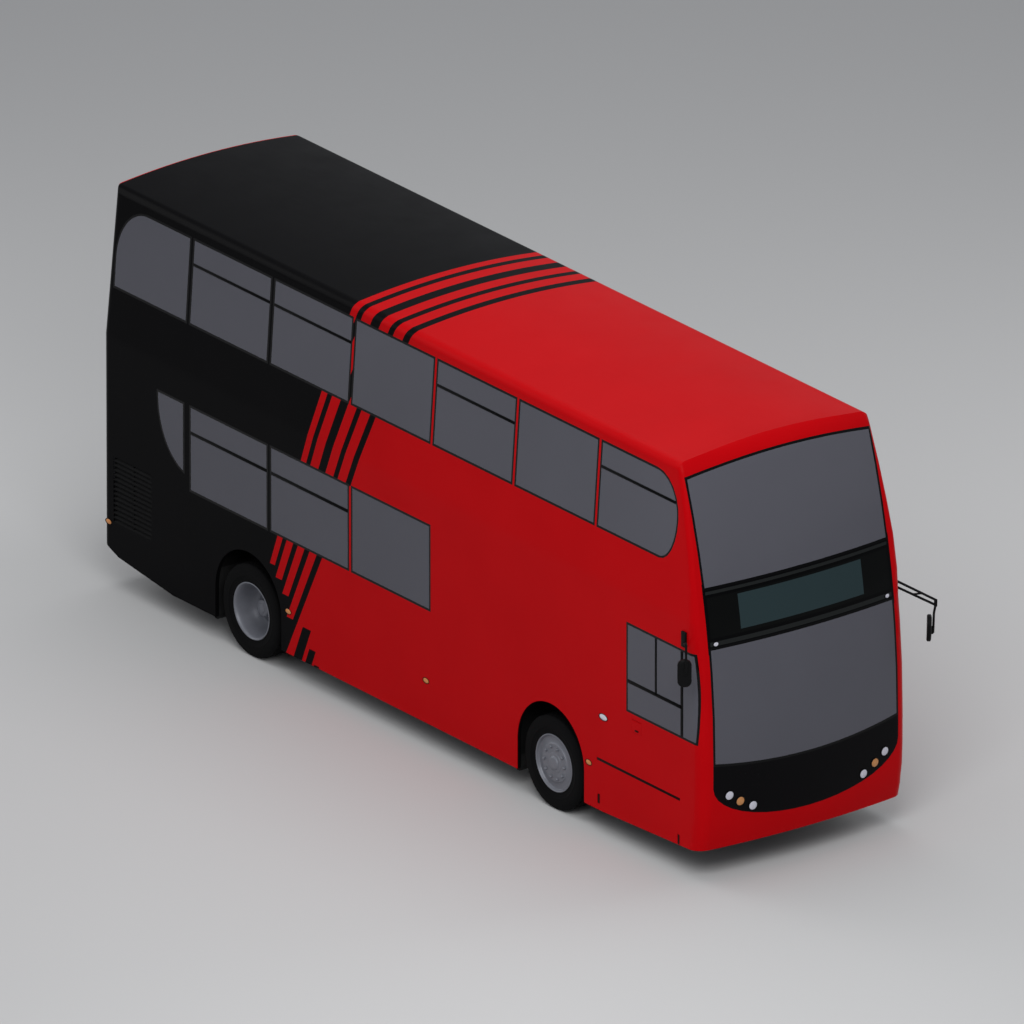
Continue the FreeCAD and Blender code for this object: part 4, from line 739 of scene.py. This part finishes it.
def wheel_nuts(centre, offset, out):
    """Ten nuts on their circle: one modelled with its washer and stud, the rest copied."""
    nut = cylinder("wheel_nut", 6, 0.0185, 0.030, centre + Vector((offset, NUT_CIRCLE, 0.0)))
    choose(nut, "FACE", lambda face: face.normal.x * out > FACING)
    inset((0.004, 0.0))
    push(0.010 * out)
    bpy.ops.transform.resize(value=(1.0, 0.7, 0.7))
    choose(nut, "FACE", lambda face: face.normal.x * out < -FACING)
    push(0.0)
    bpy.ops.transform.resize(value=(1.0, 1.3, 1.3))
    push(-0.003 * out)
    nuts = [nut]
    for k in range(1, NUTS):
        angle = 2.0 * math.pi * k / NUTS
        round_axle = Vector((0.0, math.cos(angle) - 1.0, math.sin(angle))) * NUT_CIRCLE
        nuts.append(copied(nut, "wheel_nut", round_axle))
    return nuts


def wheels():
    """Both kinds of wheel, made for the offside and copied, turned half round, for the nearside."""
    for row, line, nut_offset in (("front", front_rim_line(), 0.113), ("rear", rear_rim_line(), -0.128)):
        centre = WHEEL_CENTRES[row + "_offside_wheel"]
        outwards = [(-offset, radius) for offset, radius in line]
        rim = turned("rim", centre, outwards, 96, closed=False)
        rim = joined([rim] + wheel_nuts(centre, -nut_offset, -1), "rim")
        tyres = [road_wheel_tyre("tyre", centre)]
        if row == "rear":
            tyres.append(copied(tyres[0], "tyre", (TWIN_PITCH, 0.0, 0.0)))
        tyre = joined(tyres, "tyre")
        back = (0.0, 2.0 * centre.y, 0.0)
        near_rim = copied(rim, "rim", back, half_turn=True)
        near_tyre = copied(tyre, "tyre", back, half_turn=True)
        for side, own_rim, own_tyre in (("offside", rim, tyre), ("nearside", near_rim, near_tyre)):
            label = row + "_" + side
            for form, piece, finish, angle in (("rim", own_rim, RIM, 32.0), ("tyre", own_tyre, TYRE, 35.0)):
                piece.name = label + "_" + form + "_finished"
                finished(piece, finish, label + "_wheel", angle, (label + "_" + form,))


wheels()


# Window bars
def skin_x(z):
    """Half width of the body at a height."""
    return HALF_WIDTH - max(0.0, z - WAIST) * math.tan(LEAN)


def glass_bar(side, start, end, low, high):
    """A flat bar on the outside of a side pane, between two stations and two heights."""
    thickness, proud = 0.010, 0.003
    z = (low + high) / 2.0
    lean = LEAN * side if z > WAIST else 0.0
    middle = at(side * (skin_x(z) + proud - thickness / 2.0), (start + end) / 2.0, z)
    return rounded_bar("bar", middle, (thickness, end - start, high - low), 0.002, (0.0, -lean, 0.0))


def window_bars(side, label):
    """Hopper rails on the opening panes, and the frame of the driver's sliding window."""
    pane = POST_PITCH - 2.0 * POST_HALF
    spans = []
    for number in (0, 1, 3):
        start = UPPER_POST + number * POST_PITCH + POST_HALF
        spans.append((start, start + pane, *UPPER_HOPPER))
    spans.append((UPPER_POST + 5.0 * POST_PITCH + POST_HALF, 1.940, *UPPER_HOPPER))
    spans.append((FIN_POST + FIN_POST_HALF, LOWER_POST - POST_HALF, *LOWER_HOPPER))
    start = LOWER_POST + POST_HALF
    spans.append((start, start + pane, *LOWER_HOPPER))
    if side < 0:
        spans.extend(CAB_BARS)
    bars = [glass_bar(side, *span) for span in spans]
    finished(joined(bars, label + "_window_bars"), BAR_BLACK, "body")


window_bars(-1, "offside")
window_bars(1, "nearside")


# Seats
def pad(middle, size, turn):
    """A crowned cushion, flat on its underside, with a sewn channel round its middle."""
    piece = block("pad", middle, size, turn)
    opened(piece)
    bpy.ops.mesh.subdivide(number_cuts=5)
    half_x, half_y = size[0] / 3.0 + 0.01, size[1] / 3.0 + 0.01
    choose(piece, "FACE", lambda face: face.normal.z > FACING and abs(face.center.x) < half_x
           and abs(face.center.y) < half_y)
    inset((0.006, 0.0))
    bpy.ops.transform.translate(value=(0.0, 0.0, 0.006), orient_type="LOCAL")
    take(piece)
    crown = piece.modifiers.new("crown", "CAST")
    crown.factor = 0.12
    crown.use_x = False
    crown.use_y = False
    soften = piece.modifiers.new("soften", "SUBSURF")
    soften.levels = soften.render_levels = 1
    for modifier in ("crown", "soften"):
        bpy.ops.object.modifier_apply(modifier=modifier)
    choose(piece, "VERT", lambda vertex: vertex.co.z < -size[2] * 0.3)
    bpy.ops.transform.resize(value=(1.0, 1.0, 0.0), orient_type="LOCAL")
    return settled(piece)


def seat_pads(places, width):
    """Cushion and back pads of one seat, for each sitting place across it."""
    pads = []
    for x in places:
        pads.append(pad((x, -0.195, 0.380), (width, 0.455, 0.090), CUSHION_TILT))
        pads.append(pad((x, 0.058, 0.705), (width, 0.510, 0.056), BACK_PAD_TILT))
    return joined(pads, "pads")


def seat_shell(width):
    """Moulded shell under and behind the pads, on a pressed pedestal."""
    back = rounded_bar("shell", (0.0, 0.094, 0.690), (width, 0.022, 0.600), 0.009, BACK_TILT, 3)
    base = rounded_bar("shell", (0.0, -0.190, 0.326), (width, 0.480, 0.022), 0.009, CUSHION_TILT, 3)
    leg = rounded_bar("shell", (0.0, -0.205, 0.160), (0.100, 0.250, 0.318), 0.008)
    choose(leg, "VERT", lambda vertex: vertex.co.z > 0.2)
    bpy.ops.transform.resize(value=(1.3, 1.0, 1.0))
    foot = rounded_bar("shell", (0.0, -0.205, 0.006), (0.160, 0.290, 0.012), 0.004)
    return joined([back, base, leg, foot], "shell")


def grab_rail(width):
    """Rail along the top of a seat's back, turned down at both ends."""
    half = width / 2.0 - 0.030
    bars = [rounded_bar("rail", (0.0, 0.140, 0.988), (2.0 * half, 0.024, 0.024), 0.010, segments=3)]
    for x in (-half + 0.012, half - 0.012):
        bars.append(rounded_bar("rail", (x, 0.126, 0.940), (0.022, 0.022, 0.110), 0.009, BACK_TILT, 3))
    return joined(bars, "rail")


def seats(places, sitters, width, label, replaced):
    """One seat modelled on the centre line, then copied to every place it stands."""
    models = {"pads": seat_pads(sitters, (width - 0.010) / len(sitters) - 0.015),
              "shells": seat_shell(width), "rails": grab_rail(width)}
    rows = {}
    for kind, model in models.items():
        rows[kind] = joined([copied(model, kind, place) for place in places], label + "_" + kind)
        bpy.data.objects.remove(model)
    finished(rows["pads"], SEAT, "body", 60.0, (replaced,))
    finished(rows["shells"], CAB, "body", 35.0)
    finished(rows["rails"], RAIL, "body", 50.0)


def seat_place(side, station, deck):
    return at(side * SEAT_X, station, deck)


def upper_rows():
    """Every row has a pair on the nearside; on the offside the stairwell is left free."""
    rear_reach, front_reach, gap = 0.150, 0.440, 0.060
    rows = []
    for row in range(11):
        station = 1.230 - row * SEAT_PITCH
        rows.append((1, station))
        if station - rear_reach > WELL[1] + gap or station + front_reach < WELL[0] - gap:
            rows.append((-1, station))
    return rows


upper_places = [seat_place(side, station, UPPER_DECK) for side, station in upper_rows()]
lower_rows = [-1.350 - row * SEAT_PITCH for row in range(4)]
lower_places = [seat_place(side, station, LOWER_DECK) for station in lower_rows for side in (-1, 1)]
driver_place = at(DRIVER_X, 1.490, LOWER_DECK + 0.150)
seats(upper_places, PAIR, PAIR_WIDTH, "upper_seat", "upper_seats")
seats(lower_places, PAIR, PAIR_WIDTH, "lower_seat", "lower_seats")
seats([driver_place], (0.0,), 0.470, "driver_seat", "driver_seat")
plinth_place = at(DRIVER_X, 1.570, LOWER_DECK + 0.076)
plinth = rounded_bar("driver_seat_plinth", plinth_place, (0.360, 0.300, 0.148), 0.015)
choose(plinth, "FACE", lambda face: abs(face.normal.x) > FACING)
inset((0.03, -0.008), each=True)
finished(plinth, CAB, "body")


# Mirrors
def bent_tube(name, points, radius):
    """A round tube along straight runs, bent where they meet and closed at its ends."""
    bend = 0.030
    places = [points[0]]
    for before, corner, after in zip(points, points[1:], points[2:]):
        bent_from, bent_to = [corner + (end - corner).normalized() * bend for end in (before, after)]
        places.extend((bent_from, corner, bent_to))
    places.append(points[-1])
    curve = bpy.data.curves.new(name, "CURVE")
    curve.dimensions = "3D"
    curve.bevel_depth = radius
    curve.bevel_resolution = 4
    curve.use_fill_caps = True
    spline = curve.splines.new("NURBS")
    spline.points.add(len(places) - 1)
    for point, place in zip(spline.points, places):
        point.co = (*place, 1.0)
    spline.order_u = min(3, len(places))
    spline.use_endpoint_u = True
    spline.resolution_u = 6
    piece = bpy.data.objects.new(name, curve)
    bpy.context.scene.collection.objects.link(piece)
    take(piece)
    bpy.ops.object.convert(target="MESH")
    return piece


def rounded_plate(name, middle, size, turn, corner):
    """A plate whose four corners are rounded, seen along its thickness."""
    plate = block(name, middle, size, turn)
    depths = [vertex.co.y for vertex in plate.data.vertices]

    def runs_through(edge):
        start, end = edge.vertices
        return abs(depths[start] - depths[end]) > size[1] / 2.0

    choose(plate, "EDGE", runs_through)
    bpy.ops.mesh.bevel(offset=corner, segments=8, affect="EDGES")
    return take(plate)


def mirror_case(middle, size, turn):
    """Case of a mirror: crowned in front, with a thin rim behind round the silvered plate."""
    case = rounded_plate("mirror_case", middle, size, turn, size[0] / 2.0 - 0.006)
    choose(case, "FACE", lambda face: face.normal.y < -FACING)
    inset((0.010, 0.008), (0.018, 0.004))
    choose(case, "FACE", lambda face: face.normal.y > FACING)
    inset((0.012, 0.008), (0.005, 0.0), (0.002, -0.004))
    return settled(case)


def mirror(side, middle, size, turn, tubes, fittings):
    """A mirror's case, arm and fittings as one piece, and its silvered plate as another."""
    arm = [bent_tube("arm", points, radius) for points, radius in tubes]
    held = [rounded_bar("fitting", place, bulk, 0.006, twist, 3) for place, bulk, twist in fittings]
    whole = joined([mirror_case(middle, size, turn)] + arm + held, side + "_mirror_finished")
    finished(whole, MIRROR_BLACK, "body", 35.0, (side + "_mirror",))
    plate_size = (size[0] - 0.038, 0.003, size[2] - 0.038)
    corner = size[0] / 2.0 - 0.026
    silver = rounded_plate(side + "_mirror_glass", Vector(), plate_size, (0.0, 0.0, 0.0), corner)
    choose(silver, "FACE", lambda face: face.normal.y > FACING)
    inset((0.004, 0.0006))
    take(silver)
    silver.rotation_euler = turn
    silver.location = middle
    bpy.context.view_layer.update()
    silver.location = silver.matrix_world @ Vector((0.0, size[1] / 2.0 + 0.0055, 0.0))
    finished(silver, MIRROR, "body")


def mirrors():
    """The offside head hangs from a cranked tube; the nearside one from a braced pair of tubes."""
    turn = (0.0, 0.0, math.radians(-36.9))
    start, elbow, foot = at(-1.287, 2.196, 2.480), at(-1.515, 2.530, 2.650), at(-1.515, 2.530, 2.335)
    plate = (at(-1.287, 2.193, 2.532), (0.024, 0.072, 0.164), (0.0, 0.0, 0.0))
    clamp = (at(-1.508, 2.513, 2.345), (0.036, 0.040, 0.060), turn)
    mirror("offside", at(-1.500, 2.485, 2.320), (0.140, 0.028, 0.290), turn,
           [((start, elbow, foot), TUBE_RADIUS)], [plate, clamp])
    turn = (math.radians(1.5), 0.0, math.radians(53.1))
    high, low = at(1.250, 2.253, 2.577), at(1.250, 2.253, 2.513)
    elbow, meeting = at(1.538, 2.589, 2.389), at(1.533, 2.584, 2.338)
    knee, foot = at(1.518, 2.574, 2.250), at(1.513, 2.570, 2.045)
    brace = (high.lerp(elbow, 0.675), low.lerp(meeting, 0.461))
    tubes = [((high, elbow, knee, foot), TUBE_RADIUS), ((low, meeting), TUBE_RADIUS), (brace, 0.010)]
    plate = (at(1.251, 2.253, 2.545), (0.060, 0.024, 0.165), (0.0, 0.0, math.radians(60.0)))
    clamp = (at(1.502, 2.562, 2.072), (0.040, 0.034, 0.075), turn)
    joint = (at(1.532, 2.584, 2.362), (0.034, 0.034, 0.072), turn)
    mirror("nearside", at(1.479, 2.545, 2.096), (0.190, 0.028, 0.272), turn, tubes, [plate, clamp, joint])


mirrors()


# Lamps
def surface(piece, x, z, from_rear=False):
    """Place and normal where a level line from far ahead, or from far behind, first meets a piece."""
    start = at(x, REAR_STATION - 4.0 if from_rear else 4.0, z)
    return piece.ray_cast(start, Vector((0.0, -1.0 if from_rear else 1.0, 0.0)))[1:3]


def lamp_unit(place, normal, half_width, half_height):
    """A domed lens and the ring round it, turned about X and then set on a surface."""
    nominal_radius = 0.050
    lens_line = [(0.006, POLE), (0.0056, 0.012), (0.0044, 0.024), (0.0024, 0.035), (0.000, 0.043),
                 (-0.003, 0.047), (-0.012, 0.047), (-0.012, POLE)]
    ring_line = [(-0.008, 0.047), (0.0005, 0.047), (0.0022, 0.0482), (0.003, 0.0505), (0.0022, 0.0528),
                 (0.0002, 0.0545), (-0.008, 0.0545)]
    made = []
    for name, line, closed in (("lens", lens_line, False), ("ring", ring_line, True)):
        piece = turned(name, Vector(), line, 40, closed)
        piece.scale = (1.0, half_width / nominal_radius, half_height / nominal_radius)
        piece.rotation_euler = normal.to_track_quat("X", "Z").to_euler()
        piece.location = place
        made.append(settled(piece))
    return made


def lamps():
    """Every lamp of the front, the rear and both sides."""
    front, rear, sides = [], [], []
    for side in (-1.0, 1.0):
        spots = [(x, z, 0.050, 0.050) for x, z in LAMP_SPOTS] + [(1.059, 2.497, 0.030, 0.023)]
        for x, z, half_width, half_height in spots:
            front.append((*surface(NODES["front_lamps"], side * x, z), half_width, half_height))
        for z, radius in [(z, 0.052) for z in REAR_LAMP_HEIGHTS] + [(2.900, 0.040)]:
            place, normal = surface(NODES["rear_lamps"], side * 1.080, z, from_rear=True)
            rear.append((place - normal * 0.006, normal, radius, radius))
        spots = [(station, 0.712, 0.050, 0.029) for station in MARKER_STATIONS]
        if side < 0.0:
            spots.append((0.862, 1.268, 0.068, 0.034))
        for station, z, half_width, half_height in spots:
            sides.append((at(side * 1.2765, station, z), Vector((side, 0.0, 0.0)), half_width, half_height))
    kinds = (("front_lamps", front, FRONT_LAMP, "lamp_clear"), ("rear_lamps", rear, REAR_LAMP, "lamp_red"),
             ("side_lamps", sides, SIDE_LAMP, "lamp_amber"))
    rings = []
    for node, units, finish, slot in kinds:
        made = [lamp_unit(*unit) for unit in units]
        finished(joined([lens for lens, _ in made], node + "_finished"), finish, "body", 40.0, (node,))
        rings.extend(ring for _, ring in made)
    finished(joined(rings, "lamp_rings"), BAR_BLACK, "body", 40.0)


lamps()


# Skirt slots, mud flaps, access flap and doors
def skirt_inserts():
    """Dark plates in the two upright slots and the long level one of the offside skirt."""
    plates = [rounded_bar("plate", at(-1.2755, station, z), (0.004, 0.024, 0.100), 0.0015)
              for station, z in ((0.793, 0.380), (2.098, 0.370))]
    plates.append(rounded_bar("plate", at(-1.2715, 1.4365, 0.800), (0.006, 1.352, 0.029), 0.002))
    finished(joined(plates, "skirt_slot_plates"), BAR_BLACK, "body")


def mud_flaps():
    """A ribbed rubber flap hangs behind every wheel from the end of its wheel box."""
    low, outer = 0.205, 1.215
    flaps = []
    for axle, top, inner in ((0.0, 0.372, 0.460), (REAR_STATION, 0.745, 0.6205)):
        for side in (-1.0, 1.0):
            middle = at(side * (inner + outer) / 2.0, axle - 0.632, (top + low) / 2.0)
            flap = rounded_bar("flap", middle, (outer - inner, 0.010, top - low), 0.004)
            choose(flap, "FACE", lambda face: abs(face.normal.y) > FACING)
            inset((0.020, -0.002), (0.006, 0.002), each=True)
            flaps.append(flap)
    finished(joined(flaps, "mud_flaps"), RUBBER, "body")


def cut_away(piece, cutter):
    """Take one closed piece out of another."""
    cut = piece.modifiers.new("cut", "BOOLEAN")
    cut.operation = "DIFFERENCE"
    cut.solver = "EXACT"
    cut.object = cutter
    take(piece)
    bpy.ops.object.modifier_apply(modifier="cut")
    bpy.data.objects.remove(cutter)
    return piece


def underbody_shade_sheets():
    """A dark sheet inside each pair of rear wheels, put there for the shade under the body, hung from the wheel
    box and cut away round the axle.
    """
    sheets = []
    for side in (-1.0, 1.0):
        x = side * 0.6175
        sheet = rounded_bar("sheet", at(x, REAR_STATION, 0.520), (0.006, 1.257, 0.520), 0.002)
        sheet = cut_away(sheet, cylinder("cutter", 32, 0.125, 0.100, at(x, REAR_STATION, 0.500)))
        notch = rounded_bar("cutter", at(x, REAR_STATION, 0.330), (0.100, 0.210, 0.340), 0.010)
        sheets.append(cut_away(sheet, notch))
    # Painted shade: dark rubber sheets close off the view under the body beside the rear wheels.
    finished(joined(sheets, "rear_splash_guards"), RUBBER, "body")


def cover_fittings():
    """Louvres and two latches on the engine cover."""
    cover = bpy.data.objects["engine_cover_finished"]
    turn = (math.radians(-35.0), 0.0, 0.0)
    slats = []
    for row in range(7):
        place = surface(cover, 0.0, 0.900 + row * 0.060, from_rear=True)[0]
        place.y -= 0.007
        slats.append(rounded_bar("slat", place, (1.160, 0.006, 0.034), 0.002, turn))
    finished(joined(slats, "engine_cover_louvres"), GRILLE, "engine_cover")
    latches = []
    for x in (-0.600, 0.600):
        place = surface(cover, x, 0.640, from_rear=True)[0]
        latches.append(rounded_bar("latch", place, (0.110, 0.004, 0.070), 0.0015))
        grip = place + Vector((0.0, 0.002, 0.008))
        latches.append(rounded_bar("latch", grip, (0.070, 0.005, 0.018), 0.002))
    finished(joined(latches, "engine_cover_latches"), CAB, "engine_cover")


skirt_inserts()
mud_flaps()
underbody_shade_sheets()
cover_fittings()

handle = rounded_bar("access_flap_handle", at(-1.277, 1.410, 1.297), (0.008, 0.056, 0.016), 0.003)
finished(handle, BAR_BLACK, "access_flap")


def door_furniture(leaf, start, end, inner_edge):
    """Rubber nosing down the meeting edge of a leaf and a yellow grab bar inside it."""
    body = "door_" + leaf + "_leaf"
    nosing_place = at(1.257, inner_edge, 1.379)
    nosing = rounded_bar(body + "_nosing", nosing_place, (0.030, 0.013, 1.960), 0.005, segments=3)
    finished(nosing, RUBBER, body)
    height = 1.250
    bar_place, bar_size = at(1.200, (start + end) / 2.0, height), (0.026, end - start - 0.100, 0.026)
    bars = [rounded_bar("bar", bar_place, bar_size, 0.010, segments=3)]
    for station in (start + 0.030, end - 0.030):
        bars.append(rounded_bar("bar", at(1.219, station, height), (0.034, 0.020, 0.020), 0.006))
    finished(joined(bars, body + "_grab_bar"), RAIL, body, 50.0)


door_furniture("front", 1.640, 2.170, 1.6215)
door_furniture("rear", 1.070, 1.600, 1.6185)


# Studio
def studio():
    bpy.ops.mesh.primitive_plane_add(size=400.0, location=(0.0, 0.0, 0.0))
    floor = bpy.context.object
    floor.name = "studio_floor"
    dress(floor, Finish("studio_floor", (0.55, 0.55, 0.55, 1.0), 0.9, sheen=0.1).material)
    world = bpy.data.worlds.new("studio")
    bpy.context.scene.world = world
    world.use_nodes = True
    backdrop = world.node_tree.nodes["Background"]
    backdrop.inputs["Color"].default_value = (0.86, 0.88, 0.92, 1.0)
    backdrop.inputs["Strength"].default_value = 0.45
    lights = (("key", (-9.0, -13.0, 13.0), 9.0, 1500.0), ("top", (0.0, 2.0, 15.0), 14.0, 800.0),
              ("nearside", (15.0, -5.0, 8.0), 9.0, 500.0), ("rear", (-7.0, 15.0, 8.0), 9.0, 400.0))
    for name, place, size, power in lights:
        bpy.ops.object.light_add(type="AREA", location=place)
        lamp = bpy.context.object
        lamp.name = "light_" + name
        lamp.data.size = size
        lamp.data.energy = power
        aim = Vector((0.0, 0.0, 2.0)) - Vector(place)
        lamp.rotation_euler = aim.to_track_quat("-Z", "Y").to_euler()


def camera():
    """A very long lens, because the photograph has no perspective: about 101 pixels show a metre."""
    towards = Vector((-0.55746, -0.74172, 0.37295))
    target = Vector((0.0106, FRONT_AXLE_Y + 2.347, 2.110))
    lens, sensor = 1650.0, 36.0
    frame_width = 1024.0 / 100.75       # pixels of the photograph, over pixels to a metre
    bpy.ops.object.camera_add(location=target + towards * (frame_width * lens / sensor))
    eye = bpy.context.object
    eye.data.lens = lens
    eye.data.sensor_width = sensor
    eye.data.clip_start = 10.0
    eye.data.clip_end = 1000.0
    eye.rotation_euler = (-towards).to_track_quat("-Z", "Y").to_euler()
    bpy.context.scene.camera = eye


deselect()
studio()
camera()
bpy.context.scene.view_settings.view_transform = "Standard"
